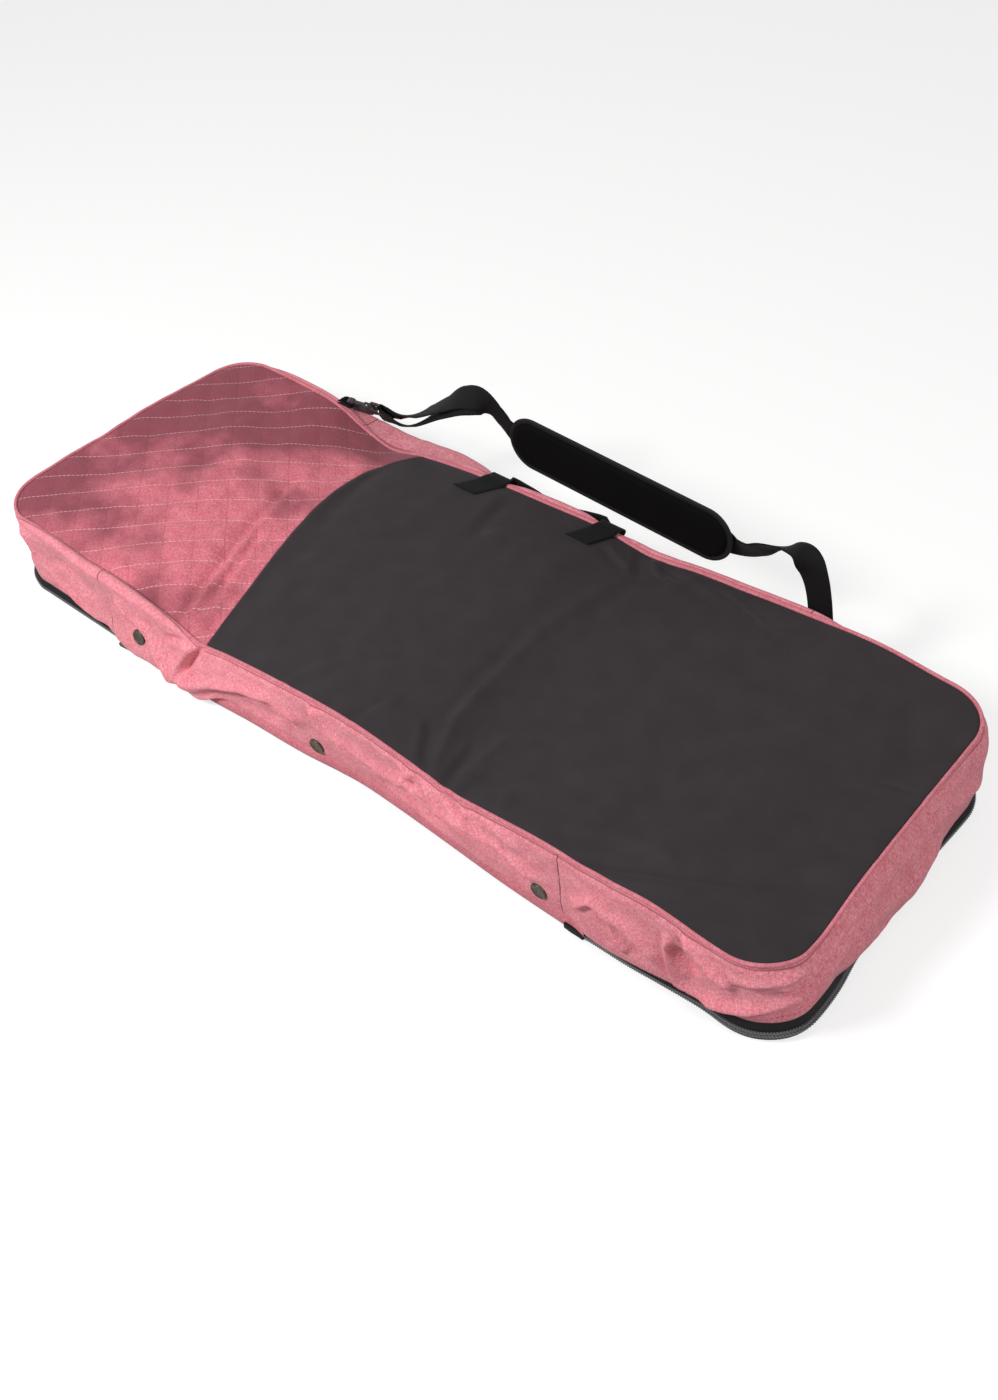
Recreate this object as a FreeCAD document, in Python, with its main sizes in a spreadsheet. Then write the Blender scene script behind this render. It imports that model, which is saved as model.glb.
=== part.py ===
"""Padded board bag: a base and a lid joined by a coil zipper, with a carry handle and a clip-on strap.

Millimetres. +X runs along the bag, +Y to the long edge that carries the handle and strap, +Z up.
The origin is the centre of the base panel's underside. Offsets named "out" are measured outwards
from the outline of the top seam.
"""
import FreeCAD, Part
import math
import os

import Sketcher
from FreeCAD import Matrix, Placement, Rotation, Vector

SIZES = {
    # outline of the top seam
    "bag_length": 1418.0,
    "bag_width": 515.0,
    "corner_radius": 68.0,
    # layers
    "top_height": 128.0,
    "fabric_thick": 1.2,
    "top_foam_thick": 4.4,
    "lining_thick": 0.8,
    "clearance": 0.3,
    # side walls
    "wall_thick": 3.0,
    "seam_drop": 3.0,
    "hem_height": 20.0,
    "wall_flare": 8.0,
    "side_seam_left": -430.0,
    "side_seam_right": 420.0,
    "piping_dia": 5.0,
    "panel_seam_front": -226.0,
    "panel_seam_sweep": 98.0,
    # base
    "base_thick": 2.0,
    "base_flare": 10.0,
    "base_foam_thick": 6.0,
    "base_foam_inset": 5.0,
    # zipper
    "zip_left": -372.0,
    "zip_right": 452.0,
    "tape_thick": 1.2,
    "coil_out": 9.5,
    "coil_thick": 5.0,
    "coil_low": 5.0,
    "coil_half": 2.2,
    "chain_gap": 1.6,
    "slider_length": 24.0,
    "slider_tall": 9.2,
    "plate_thick": 2.2,
    "slider_play": 0.5,
    "wedge_length": 6.0,
    "bail_reach": 5.2,
    "bail_wide": 3.2,
    "pull_width": 8.4,
    "pull_link": 17.0,
    "pull_grip": 24.0,
    "pull_rest_angle": 6.0,
    "end_tab_width": 31.0,
    "end_tab_tall": 10.6,
    "end_tab_thick": 7.0,
    # vents
    "vent_dia": 25.0,
    "vent_barrel": 16.0,
    "vent_pitch": 386.0,
    "vent_height": 42.0,
    "vent_middle": -4.0,
    # webbing
    "webbing_width": 38.0,
    "webbing_thick": 2.0,
    "handle_left": -125.0,
    "handle_right": 90.0,
    "handle_tab_reach": 54.0,
    "anchor_width": 28.0,
    # snap hooks, along their own axis from the webbing bar
    "bar_dia": 5.0,
    "bar_play": 0.6,
    "frame_reach": 16.0,
    "frame_play": 1.5,
    "boss_dia": 12.0,
    "boss_length": 8.0,
    "stud_dia": 6.0,
    "stud_play": 0.3,
    "hook_thick": 9.0,
    "hook_wire": 6.5,
    "hook_throat": 12.5,
    "bow_place": 70.0,
    "gate_pivot": 36.0,
    "gate_thick": 5.2,
    "gate_play": 0.3,
    "pin_dia": 3.0,
    # shoulder pad
    "pad_length": 402.0,
    "pad_width": 88.0,
    "pad_thick": 12.0,
    "pad_rim": 8.0,
    "rim_thick": 5.0,
    "glide_length": 30.0,
    "glide_bar": 3.2,
    "keeper_width": 20.0,
    # where the strap lies
    "strap_out": 25.5,
    "strap_rise": 64.0,
    "strap_middle": 87.0,
    "strap_tilt": 3.0,
    "strap_drop": 9.3,
}
DERIVED = {"wall_top": "=top_height - seam_drop"}

doc = FreeCAD.newDocument("BoardBag")
sheet = doc.addObject("Spreadsheet::Sheet", "Sizes")
for row, (alias, value) in enumerate({**SIZES, **DERIVED}.items(), 1):
    sheet.set(f"A{row}", alias)
    sheet.set(f"B{row}", str(value))
    sheet.setAlias(f"B{row}", alias)
doc.recompute()

parts = []


def size(name):
    """A driving dimension, read back from the sheet."""
    return float(sheet.get(name))


def worked(expression):
    """An expression over the sheet's cells, worked out in millimetres."""
    return float(sheet.evalExpression(expression.replace("Sizes.", "")))


def keep(obj, label):
    """Names a finished sub-part and puts it on the list of pieces."""
    obj.Label = label
    parts.append(obj)
    return obj


# ---------------------------------------------------------------- sketches and simple solids


def plane(body, role):
    return next(f for f in body.Origin.OriginFeatures if f.Role == role)


def new_sketch(body, name, role="XY_Plane", height=None):
    """A sketch on one of its body's own planes, moved along the plane's normal by an expression."""
    sketch = body.newObject("Sketcher::SketchObject", name)
    sketch.AttachmentSupport = [(plane(body, role), "")]
    sketch.MapMode = "FlatFace"
    if height is not None:
        sketch.setExpression(".AttachmentOffset.Base.z", height)
    return sketch


def rounded_rectangle(sketch, length, width, radius, centre=(0.0, 0.0)):
    """Four arcs and four lines, tangent all round, sized by three expressions."""
    half_x, half_y, r = worked(length) / 2, worked(width) / 2, worked(radius)
    for i, (sx, sy) in enumerate([(1, 1), (-1, 1), (-1, -1), (1, -1)]):
        middle = Vector(centre[0] + sx * (half_x - r), centre[1] + sy * (half_y - r), 0)
        turn = Part.Circle(middle, Vector(0, 0, 1), r)
        sketch.addGeometry(Part.ArcOfCircle(turn, i * math.pi / 2, (i + 1) * math.pi / 2))
    for i in range(4):
        start = sketch.Geometry[i].EndPoint
        end = sketch.Geometry[(i + 1) % 4].StartPoint
        sketch.addGeometry(Part.LineSegment(start, end))
    add = sketch.addConstraint
    for i in range(4):
        add(Sketcher.Constraint("Tangent", i, 2, 4 + i, 1))
        add(Sketcher.Constraint("Tangent", 4 + i, 2, (i + 1) % 4, 1))
    for i in (4, 6):
        add(Sketcher.Constraint("Horizontal", i))
    for i in (5, 7):
        add(Sketcher.Constraint("Vertical", i))
    for i in (1, 2, 3):
        add(Sketcher.Constraint("Equal", 0, i))
    driven = [
        (Sketcher.Constraint("Radius", 0, r), radius),
        (Sketcher.Constraint("DistanceX", 5, 1, 7, 1, 2 * half_x), length),
        (Sketcher.Constraint("DistanceY", 6, 1, 4, 1, 2 * half_y), width),
    ]
    for constraint, expression in driven:
        sketch.setExpression(f"Constraints[{add(constraint)}]", expression)
    if centre == (0.0, 0.0):
        add(Sketcher.Constraint("Symmetric", 0, 3, 2, 3, -1, 1))
    else:
        add(Sketcher.Constraint("DistanceX", -1, 1, 0, 3, centre[0] + half_x - r))
        add(Sketcher.Constraint("DistanceY", -1, 1, 0, 3, centre[1] + half_y - r))


def outline(body, name, out, height):
    """The bag's outline, moved out and up by two expressions."""
    sketch = new_sketch(body, name, height=height)
    rounded_rectangle(
        sketch,
        f"Sizes.bag_length + 2 * ({out})",
        f"Sizes.bag_width + 2 * ({out})",
        f"Sizes.corner_radius + ({out})",
    )
    return sketch


def closed_profile(sketch, points):
    """A closed outline of straight lines; a point may carry the middle of an arc that leads to it."""
    places = [p[:2] for p in points]
    for (x0, y0), point in zip([places[-1]] + places[:-1], points):
        a, b = Vector(x0, y0, 0), Vector(point[0], point[1], 0)
        if len(point) == 3:
            middle = Vector(point[2][0], point[2][1], 0)
            sketch.addGeometry(Part.Arc(a, middle, b))
        else:
            sketch.addGeometry(Part.LineSegment(a, b))


def sheet_panel(name, out, low, thick):
    """A flat layer with the bag's outline."""
    body = doc.addObject("PartDesign::Body", name)
    pad = body.newObject("PartDesign::Pad", name + "_pad")
    pad.Profile = outline(body, name + "_outline", out, low)
    pad.setExpression("Length", thick)
    return body


def band(name, outer, inner):
    """A wall all round the bag: lofts through (out, height) sections, hollowed by a second loft."""
    body = doc.addObject("PartDesign::Body", name)
    for kind, sections in (("AdditiveLoft", outer), ("SubtractiveLoft", inner)):
        sketches = [
            outline(body, f"{name}_{kind}_{i}", out, height) for i, (out, height) in enumerate(sections)
        ]
        loft = body.newObject("PartDesign::" + kind, f"{name}_{kind}")
        loft.Profile = sketches[0]
        loft.Sections = sketches[1:]
        loft.Ruled = True
    return body


def box(name, x, y, z):
    """A block between pairs of expressions."""
    block = doc.addObject("Part::Box", name)
    for prop, axis, (low, high) in zip(("Length", "Width", "Height"), "xyz", (x, y, z)):
        block.setExpression(prop, f"({high}) - ({low})")
        block.setExpression(f"Placement.Base.{axis}", low)
    return block


def cylinder(name, radius, height, place):
    """A round bar from a placement, sized by expressions."""
    bar = doc.addObject("Part::Cylinder", name)
    bar.setExpression("Radius", radius)
    bar.setExpression("Height", height)
    bar.Placement = place
    return bar


def cut(name, base, tool):
    result = doc.addObject("Part::Cut", name)
    result.Base = base
    result.Tool = tool
    return result


def common(name, base, tool):
    result = doc.addObject("Part::Common", name)
    result.Base = base
    result.Tool = tool
    return result


def fuse(name, shapes):
    result = doc.addObject("Part::MultiFuse", name)
    result.Shapes = shapes
    result.Refine = True
    return result


def revolved(name, points):
    """A turned piece about its own Z axis, from (radius, height) points."""
    body = doc.addObject("PartDesign::Body", name)
    sketch = new_sketch(body, name + "_profile", "XZ_Plane")
    closed_profile(sketch, points)
    turn = body.newObject("PartDesign::Revolution", name + "_turn")
    turn.Profile = sketch
    turn.ReferenceAxis = (sketch, ["V_Axis"])
    turn.Angle = 360
    return body


# ---------------------------------------------------------------- webbing


def between(stations, steps):
    """Points, directions and facings on a smooth curve through (place, facing) stations."""
    places = [Vector(*p) for p, _ in stations]
    facings = [Vector(*f).normalize() for _, f in stations]
    runs = [(q - p).Length for p, q in zip(places, places[1:])]
    slopes = [(q - p) * (1 / run) for p, q, run in zip(places, places[1:], runs)]
    tangents = [slopes[0]]
    for i in range(1, len(runs)):
        share = runs[i - 1] / (runs[i - 1] + runs[i])
        tangents.append(slopes[i - 1] * (1 - share) + slopes[i] * share)
    tangents.append(slopes[-1])
    result = []
    for i, run in enumerate(runs):
        p, q = places[i], places[i + 1]
        leave, arrive = tangents[i] * run, tangents[i + 1] * run
        last = i == len(runs) - 1
        for k in range(steps + (1 if last else 0)):
            t = k / steps
            point = (
                p * (2 * t**3 - 3 * t**2 + 1)
                + leave * (t**3 - 2 * t**2 + t)
                + q * (3 * t**2 - 2 * t**3)
                + arrive * (t**3 - t**2)
            )
            along = (
                (q - p) * (6 * t - 6 * t**2)
                + leave * (3 * t**2 - 4 * t + 1)
                + arrive * (3 * t**2 - 2 * t)
            )
            result.append((point, along.normalize(), facings[i] * (1 - t) + facings[i + 1] * t))
    return result


def facet(corners):
    return Part.Face(Part.makePolygon(corners + corners[:1]))


def ribbon(stations, width, thick, steps=3):
    """Webbing through (place, facing) stations; width is one value or one for each station."""
    curve = between(stations, steps)
    spread = width if isinstance(width, list) else [width] * len(stations)
    sections = []
    for i, (point, along, facing) in enumerate(curve):
        k = min(i // steps, len(spread) - 2)
        share = i / steps - k
        wide = spread[k] * (1 - share) + spread[k + 1] * share
        across = along.cross(facing).normalize()
        normal = across.cross(along)
        a, b = across * (wide / 2), normal * (thick / 2)
        sections.append([point - a - b, point + a - b, point + a + b, point - a + b])
    faces = [facet(sections[0][::-1]), facet(sections[-1])]
    for low, high in zip(sections, sections[1:]):
        for i in range(4):
            j = (i + 1) % 4
            faces.append(facet([low[i], low[j], high[j]]))
            faces.append(facet([low[i], high[j], high[i]]))
    shell = Part.makeShell(faces)
    shell.sewShape()
    return Part.makeSolid(shell)


def facing_at(degrees):
    """A facing in the YZ plane, turned from +Z towards +Y."""
    return (0.0, math.sin(math.radians(degrees)), math.cos(math.radians(degrees)))


def wrap(centre, away, facing, radius):
    """Stations half way round a bar: in on the far side of facing, round, and out on its side."""
    centre, away, facing = Vector(*centre), Vector(*away), Vector(*facing)
    stations = []
    for degrees in range(-90, 91, 30):
        s, c = math.sin(math.radians(degrees)), math.cos(math.radians(degrees))
        outward = facing * s - away * c
        stations.append((tuple(centre + outward * radius), tuple(outward)))
    return stations


def feature(name, shape):
    result = doc.addObject("Part::Feature", name)
    result.Shape = shape
    return result


def local_frame(origin, x_axis, y_axis):
    """A placement whose X and Y lie along the given directions."""
    x, y = Vector(*x_axis).normalize(), Vector(*y_axis)
    z = x.cross(y).normalize()
    y = z.cross(x)
    o = Vector(*origin)
    return Placement(
        Matrix(x.x, y.x, z.x, o.x, x.y, y.y, z.y, o.y, x.z, y.z, z.z, o.z, 0, 0, 0, 1)
    )


# ---------------------------------------------------------------- base

TOP = "Sizes.top_height"
GAP = "Sizes.clearance"
COIL_TOP = "(Sizes.coil_low + 2 * Sizes.coil_half + Sizes.chain_gap)"
COIL_MIDDLE = "Sizes.coil_out + Sizes.coil_thick / 2"
FAR = 2000.0


def build_base():
    foam_low = f"Sizes.base_thick + {GAP}"
    keep(sheet_panel("base_panel", "Sizes.base_flare", "0", "Sizes.base_thick"), "base_panel")
    keep(
        sheet_panel("base_foam", "-Sizes.base_foam_inset", foam_low, "Sizes.base_foam_thick"),
        "base_foam",
    )
    lining_low = f"{foam_low} + Sizes.base_foam_thick + {GAP}"
    keep(
        sheet_panel("base_lining", "-Sizes.base_foam_inset", lining_low, "Sizes.lining_thick"),
        "base_lining",
    )


# ---------------------------------------------------------------- lid


def build_top():
    """The sandwich inside the top seam: lining, foam and the two fabrics that meet at a curve."""
    fabric_low = f"{TOP} - Sizes.fabric_thick"
    foam_low = f"{fabric_low} - {GAP} - Sizes.top_foam_thick"
    lining_low = f"{foam_low} - {GAP} - Sizes.lining_thick"
    fabric_out = f"-Sizes.piping_dia - {GAP}"
    lining_out = f"-Sizes.wall_thick - Sizes.lining_thick - 2 * {GAP}"
    keep(sheet_panel("top_foam", fabric_out, foam_low, "Sizes.top_foam_thick"), "top_foam")
    keep(sheet_panel("top_lining", lining_out, lining_low, "Sizes.lining_thick"), "top_lining")
    fabric = sheet_panel("top_fabric", fabric_out, fabric_low, "Sizes.fabric_thick")

    side = doc.addObject("PartDesign::Body", "quilted_side")
    sketch = new_sketch(side, "quilted_side_outline", height=fabric_low)
    front, sweep, half = size("panel_seam_front"), size("panel_seam_sweep"), size("bag_width") / 2
    shares = [(-1.1, 0.0), (-0.45, 0.37), (0.08, 0.81), (0.64, 1.0), (0.95, 0.72), (1.1, 0.5)]
    points = [Vector(front - sweep * back, half * across, 0) for across, back in shares]
    curve = Part.BSplineCurve()
    curve.interpolate(points)
    left = -size("bag_length")
    sketch.addGeometry(curve)
    sketch.addGeometry(Part.LineSegment(points[-1], Vector(left, points[-1].y, 0)))
    sketch.addGeometry(Part.LineSegment(Vector(left, points[-1].y, 0), Vector(left, points[0].y, 0)))
    sketch.addGeometry(Part.LineSegment(Vector(left, points[0].y, 0), points[0]))
    pad = side.newObject("PartDesign::Pad", "quilted_side_pad")
    pad.Profile = sketch
    pad.setExpression("Length", "Sizes.fabric_thick")
    keep(common("quilted", fabric, side), "top_quilted_panel")
    keep(cut("black", fabric, side), "top_black_panel")


def build_walls():
    wall = band(
        "wall",
        [("Sizes.wall_flare", "Sizes.hem_height"), ("0", "Sizes.wall_top")],
        [("Sizes.wall_flare - Sizes.wall_thick", "Sizes.hem_height"), ("-Sizes.wall_thick", "Sizes.wall_top")],
    )
    lining_in = f"-Sizes.wall_thick - {GAP}"
    lining_top = f"{TOP} - Sizes.fabric_thick - 3 * {GAP} - Sizes.top_foam_thick - Sizes.lining_thick"
    lining = band(
        "wall_lining",
        [(f"Sizes.wall_flare + {lining_in}", "Sizes.hem_height"), (lining_in, lining_top)],
        [
            (f"Sizes.wall_flare + {lining_in} - Sizes.lining_thick", "Sizes.hem_height"),
            (f"{lining_in} - Sizes.lining_thick", lining_top),
        ],
    )
    left, right = "Sizes.side_seam_left", "Sizes.side_seam_right"
    whole = (str(-FAR), str(FAR))
    regions = {
        "front": ((left, right), (str(-FAR), "0")),
        "back": ((left, right), ("0", str(FAR))),
        "left": ((str(-FAR), left), whole),
        "right": ((right, str(FAR)), whole),
    }
    barrels = vent_places()
    for side, (x, y) in regions.items():
        piece = common(f"wall_{side}", wall, box(f"region_{side}", x, y, whole))
        if side == "front":
            piece = cut("wall_front_vented", piece, fuse("vent_holes", vent_cutters("wall", barrels)))
        keep(piece, "gusset_" + side)
    keep(cut("lining_vented", lining, fuse("lining_holes", vent_cutters("lining", barrels))), "gusset_lining")


def vent_places():
    """Placements on the front wall's face, with Z along the wall's outward normal."""
    rise = size("wall_top") - size("hem_height")
    lean = math.atan2(size("wall_flare"), rise)
    out = size("wall_flare") * (size("wall_top") - size("vent_height")) / rise
    turn = Rotation(Vector(0, 0, 1), Vector(0, -math.cos(lean), math.sin(lean)))
    return [
        Placement(
            Vector(
                size("vent_middle") + i * size("vent_pitch"),
                -size("bag_width") / 2 - out,
                size("vent_height"),
            ),
            turn,
        )
        for i in (-1, 0, 1)
    ]


def vent_cutters(name, places):
    back = Placement(Vector(0, 0, -size("vent_dia")), Rotation())
    return [
        cylinder(f"{name}_hole_{i}", f"Sizes.vent_barrel / 2 + {GAP}", "2 * Sizes.vent_dia", place * back)
        for i, place in enumerate(places)
    ]


def build_vents():
    """Eyelet discs: a flange with a raised rim, and a barrel that holds a washer inside the wall."""
    radius, barrel = size("vent_dia") / 2, size("vent_barrel") / 2
    gap = size("clearance")
    washer_front = -(size("wall_thick") + size("lining_thick") + 2 * gap)
    washer_back = washer_front - 1.0
    rim, face = 2.4, 1.2
    profile = [
        (0, washer_back),
        (barrel, washer_back),
        (barrel, 0),
        (radius, 0),
        (radius, face),
        (radius - 1.5, rim),
        (radius - 3.4, face),
        (0, face),
    ]
    ring = [
        (barrel + gap, washer_back),
        (radius, washer_back),
        (radius, washer_front),
        (barrel + gap, washer_front),
    ]
    for side, place in zip(("left", "middle", "right"), vent_places()):
        disc = keep(revolved("vent_" + side, profile), "vent_" + side)
        disc.Placement = place
        washer = keep(revolved("washer_" + side, ring), "vent_washer_" + side)
        washer.Placement = place


def build_piping():
    """A cord in a fabric sleeve, sewn into the top seam all the way round, with an eight-sided section."""
    half = "Sizes.piping_dia / 2"
    flat = f"{math.tan(math.radians(22.5)):.4f} * {half}"
    levels = [f"{TOP} - {half}", f"{TOP} - {flat}", f"{TOP} + {flat}", f"{TOP} + {half}"]
    outer = [f"-{half} + {flat}", "0", "0", f"-{half} + {flat}"]
    inner = [f"-{half} - {flat}", "-Sizes.piping_dia", "-Sizes.piping_dia", f"-{half} - {flat}"]
    keep(band("piping_ring", list(zip(outer, levels)), list(zip(inner, levels))), "piping")


# ---------------------------------------------------------------- zipper

FRONT = "-Sizes.bag_width / 2"
SLIDER = f"(Sizes.zip_left - {GAP} - Sizes.slider_length / 2)"


def without_front(name, ring, left, right):
    """The ring with its front run taken out between two places."""
    return cut(name, ring, box(name + "_gap", (left, right), (str(-FAR), "0"), (str(-FAR), str(FAR))))


def build_chain():
    foot_out = f"{COIL_MIDDLE} + Sizes.tape_thick / 2"
    hem_out = "Sizes.wall_flare - 2"
    hem_low = f"Sizes.hem_height - {GAP}"
    upper_tape = band(
        "upper_tape",
        [(foot_out, COIL_TOP), (hem_out, hem_low)],
        [(f"{foot_out} - Sizes.tape_thick", COIL_TOP), (f"{hem_out} - Sizes.tape_thick", hem_low)],
    )
    base_out = f"Sizes.base_flare - {GAP}"
    base_top = f"Sizes.base_thick + {GAP}"
    lower_tape = band(
        "lower_tape",
        [(base_out, base_top), (foot_out, "Sizes.coil_low")],
        [(f"{base_out} - Sizes.tape_thick", base_top), (f"{foot_out} - Sizes.tape_thick", "Sizes.coil_low")],
    )
    coil_out = "Sizes.coil_out + Sizes.coil_thick"
    halves = {
        "lower": ("Sizes.coil_low", "Sizes.coil_low + Sizes.coil_half"),
        "upper": (f"{COIL_TOP} - Sizes.coil_half", COIL_TOP),
    }
    coils = {
        half: band(f"{half}_coil", [(coil_out, low), (coil_out, high)], [("Sizes.coil_out", low), ("Sizes.coil_out", high)])
        for half, (low, high) in halves.items()
    }
    start = f"Sizes.zip_right + {GAP}"
    behind_slider = f"{SLIDER} - Sizes.slider_length / 2 - {GAP}"
    at_wedge = f"{SLIDER} + Sizes.slider_length / 2 - Sizes.wedge_length - {GAP}"
    keep(without_front("tape_up", upper_tape, f"Sizes.zip_left - {GAP}", start), "zip_tape_upper")
    keep(without_front("tape_down", lower_tape, behind_slider, start), "zip_tape_lower")
    keep(without_front("coil_up", coils["upper"], at_wedge, start), "zip_coil_upper")
    keep(without_front("coil_down", coils["lower"], behind_slider, start), "zip_coil_lower")


def build_end_tabs():
    """Folded fabric stops over the two ends of the zipper."""
    near = f"Sizes.base_flare + {GAP}"
    y = (f"{FRONT} - ({near}) - Sizes.end_tab_thick", f"{FRONT} - ({near})")
    z = (f"Sizes.base_thick + {GAP}", f"Sizes.base_thick + {GAP} + Sizes.end_tab_tall")
    spans = {
        "left": ("Sizes.zip_left", "Sizes.zip_left + Sizes.end_tab_width"),
        "right": ("Sizes.zip_right - Sizes.end_tab_width", "Sizes.zip_right"),
    }
    for side, x in spans.items():
        block = box("end_tab_block_" + side, x, y, z)
        doc.recompute()
        rounded = doc.addObject("Part::Fillet", "end_tab_" + side)
        rounded.Base = block
        outer = [
            i
            for i, edge in enumerate(block.Shape.Edges, 1)
            if edge.CenterOfMass.y < block.Shape.BoundBox.YMin + 0.1
        ]
        rounded.Edges = [(i, 2.5, 2.5) for i in outer]
        keep(rounded, "zip_end_tab_" + side)


def build_hinge():
    """The uncut fabric between the base's edge and the lid's hem, which folds when the lid opens."""
    low, high = f"Sizes.base_thick + {GAP}", f"Sizes.hem_height - {GAP}"
    out_low, out_high = f"Sizes.base_flare - {GAP}", "Sizes.wall_flare"
    ring = band(
        "hinge_ring",
        [(out_low, low), (out_high, high)],
        [(f"{out_low} - Sizes.fabric_thick", low), (f"{out_high} - Sizes.fabric_thick", high)],
    )
    run = box("hinge_run", ("Sizes.zip_left", "Sizes.zip_right"), (str(-FAR), "0"), (str(-FAR), str(FAR)))
    keep(common("hinge", ring, run), "hinge_strip")


def build_slider():
    """Two plates either side of the coil, joined by a wedge, with a bail on the outer plate."""
    middle = "(Sizes.coil_low + Sizes.coil_half + Sizes.chain_gap / 2)"
    half_long, half_tall = "Sizes.slider_length / 2", "Sizes.slider_tall / 2"
    x = (f"{SLIDER} - {half_long}", f"{SLIDER} + {half_long}")
    z = (f"{middle} - {half_tall}", f"{middle} + {half_tall}")
    slot_in = f"{FRONT} - Sizes.coil_out + Sizes.slider_play"
    slot_out = f"{FRONT} - Sizes.coil_out - Sizes.coil_thick - Sizes.slider_play"
    lip, lip_reach = "1.1", "1.9"
    wedge_half = f"(Sizes.chain_gap / 2 - {GAP})"
    wedge_x = (f"{SLIDER} + {half_long} - Sizes.wedge_length", x[1])
    face = f"{slot_out} - Sizes.plate_thick"
    bail_half = "5"
    leg = "1.8"
    bail_z = (f"{middle} - Sizes.bail_wide / 2", f"{middle} + Sizes.bail_wide / 2")
    bail_y = (f"{face} - Sizes.bail_reach", face)
    pieces = [
        box("plate_in", x, (slot_in, f"{slot_in} + Sizes.plate_thick"), z),
        box("plate_out", x, (face, slot_out), z),
        box("wedge", wedge_x, (slot_out, slot_in), (f"{middle} - {wedge_half}", f"{middle} + {wedge_half}")),
        box("lip_low", x, (slot_out, f"{slot_out} + {lip_reach}"), (z[0], f"{z[0]} + {lip}")),
        box("lip_high", x, (slot_out, f"{slot_out} + {lip_reach}"), (f"{z[1]} - {lip}", z[1])),
        box("bail_left", (f"{SLIDER} - {bail_half}", f"{SLIDER} - {bail_half} + {leg}"), bail_y, bail_z),
        box("bail_right", (f"{SLIDER} + {bail_half} - {leg}", f"{SLIDER} + {bail_half}"), bail_y, bail_z),
        box(
            "bail_bridge",
            (f"{SLIDER} - {bail_half}", f"{SLIDER} + {bail_half}"),
            (bail_y[0], f"{bail_y[0]} + 2"),
            bail_z,
        ),
    ]
    keep(fuse("slider", pieces), "zip_slider")
    pivot_y = worked(face) - (size("bail_reach") - 2.0) / 2
    return Vector(worked(SLIDER), pivot_y, worked(middle))


def build_pull(pivot):
    """A metal link on the bail and a moulded grip on its end, turned slightly out from the wall."""
    place = Placement(pivot, Rotation(Vector(0, 0, 1), 180 + size("pull_rest_angle")))
    half = size("pull_width") / 2
    eye, bar, thick, eye_half = 8.4, 0.9, 1.6, 2.6
    link_end, grip_end = size("pull_link"), size("pull_link") + size("pull_grip")

    link = doc.addObject("PartDesign::Body", "pull_link_body")
    sketch = new_sketch(link, "link_outline", "XZ_Plane")
    closed_profile(
        sketch,
        [(-bar, -half + 1), (-bar + 1, -half), (eye, -half), (link_end, -half + 1.4), (link_end, half - 1.4),
         (eye, half), (-bar + 1, half), (-bar, half - 1)],
    )
    pad = link.newObject("PartDesign::Pad", "link_plate")
    pad.Profile = sketch
    pad.Length = thick
    pad.Midplane = True
    window = new_sketch(link, "link_window", "XZ_Plane")
    closed_profile(window, [(bar, -eye_half), (eye - 1.6, -eye_half), (eye - 1.6, eye_half), (bar, eye_half)])
    pocket = link.newObject("PartDesign::Pocket", "link_eye")
    pocket.Profile = window
    pocket.Length = 2 * thick
    pocket.Midplane = True
    keep(link, "zip_pull").Placement = place

    grip = doc.addObject("PartDesign::Body", "pull_grip_body")
    sketch = new_sketch(grip, "grip_outline", "XZ_Plane")
    gap = size("clearance")
    closed_profile(
        sketch,
        [(link_end + gap, -half + 0.6), (grip_end - 2.5, -half + 0.2),
         (grip_end - 2.5, half - 0.2, (grip_end, 0)), (link_end + gap, half - 0.6)],
    )
    pad = grip.newObject("PartDesign::Pad", "grip_body")
    pad.Profile = sketch
    pad.Length = thick + 1.2
    pad.Midplane = True
    keep(grip, "pull_tab").Placement = place


# ---------------------------------------------------------------- carry handle


def build_handle():
    """Two sewn tabs on the top panel, and the loop that hangs from them over the back seam."""
    width, thick = size("webbing_width"), size("webbing_thick")
    back = size("bag_width") / 2
    fold_y = back + 4.5
    fold_z = size("top_height") + size("piping_dia") / 2 + thick / 2 + size("clearance")
    flat_z = size("top_height") + thick / 2 + size("clearance")
    reach = size("handle_tab_reach")
    left, right = size("handle_left"), size("handle_right")
    inset = 0.45 * thick
    up = (0, 0, 1)
    for side, x, lean in (("left", left, -17), ("right", right, -23)):
        stations = [
            ((x + lean, back - reach, flat_z), up),
            ((x + 0.5 * lean, back - 0.72 * reach, flat_z), up),
            ((x + 0.08 * lean, back - 0.45 * reach, flat_z), up),
            ((x, back - 15.5, flat_z), up),
            ((x, back - 11.0, flat_z + 0.8), up),
            ((x, back - 6.5, fold_z), up),
            ((x, back - 2.0, fold_z), up),
            ((x, fold_y - math.hypot(inset, thick / 2) - size("clearance"), fold_z), up),
        ]
        keep(feature("tab_" + side, ribbon(stations, width, thick)), "handle_tab_" + side)

    span = right - left
    hang = [
        (0.0, -inset, 0.0, 0),
        (0.0, 5.0, -0.6, 8),
        (0.015, 8.5, -5.0, 45),
        (0.055, 9.0, -12.0, 75),
        (0.15, 8.5, -16.0, 90),
        (0.29, 8.0, -20.0, 90),
        (0.45, 8.5, -33.0, 90),
        (0.60, 8.5, -27.0, 90),
        (0.75, 8.0, -18.0, 90),
        (0.86, 8.5, -16.0, 90),
        (0.945, 9.0, -12.0, 75),
        (0.985, 8.5, -5.0, 45),
        (1.0, 5.0, -0.6, 8),
        (1.0, -inset, 0.0, 0),
    ]
    stations = [
        ((left + share * span, fold_y + y, fold_z + z), facing_at(turn)) for share, y, z, turn in hang
    ]
    keep(feature("handle_loop", ribbon(stations, width, thick)), "carry_handle")


# ---------------------------------------------------------------- snap hooks


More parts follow.
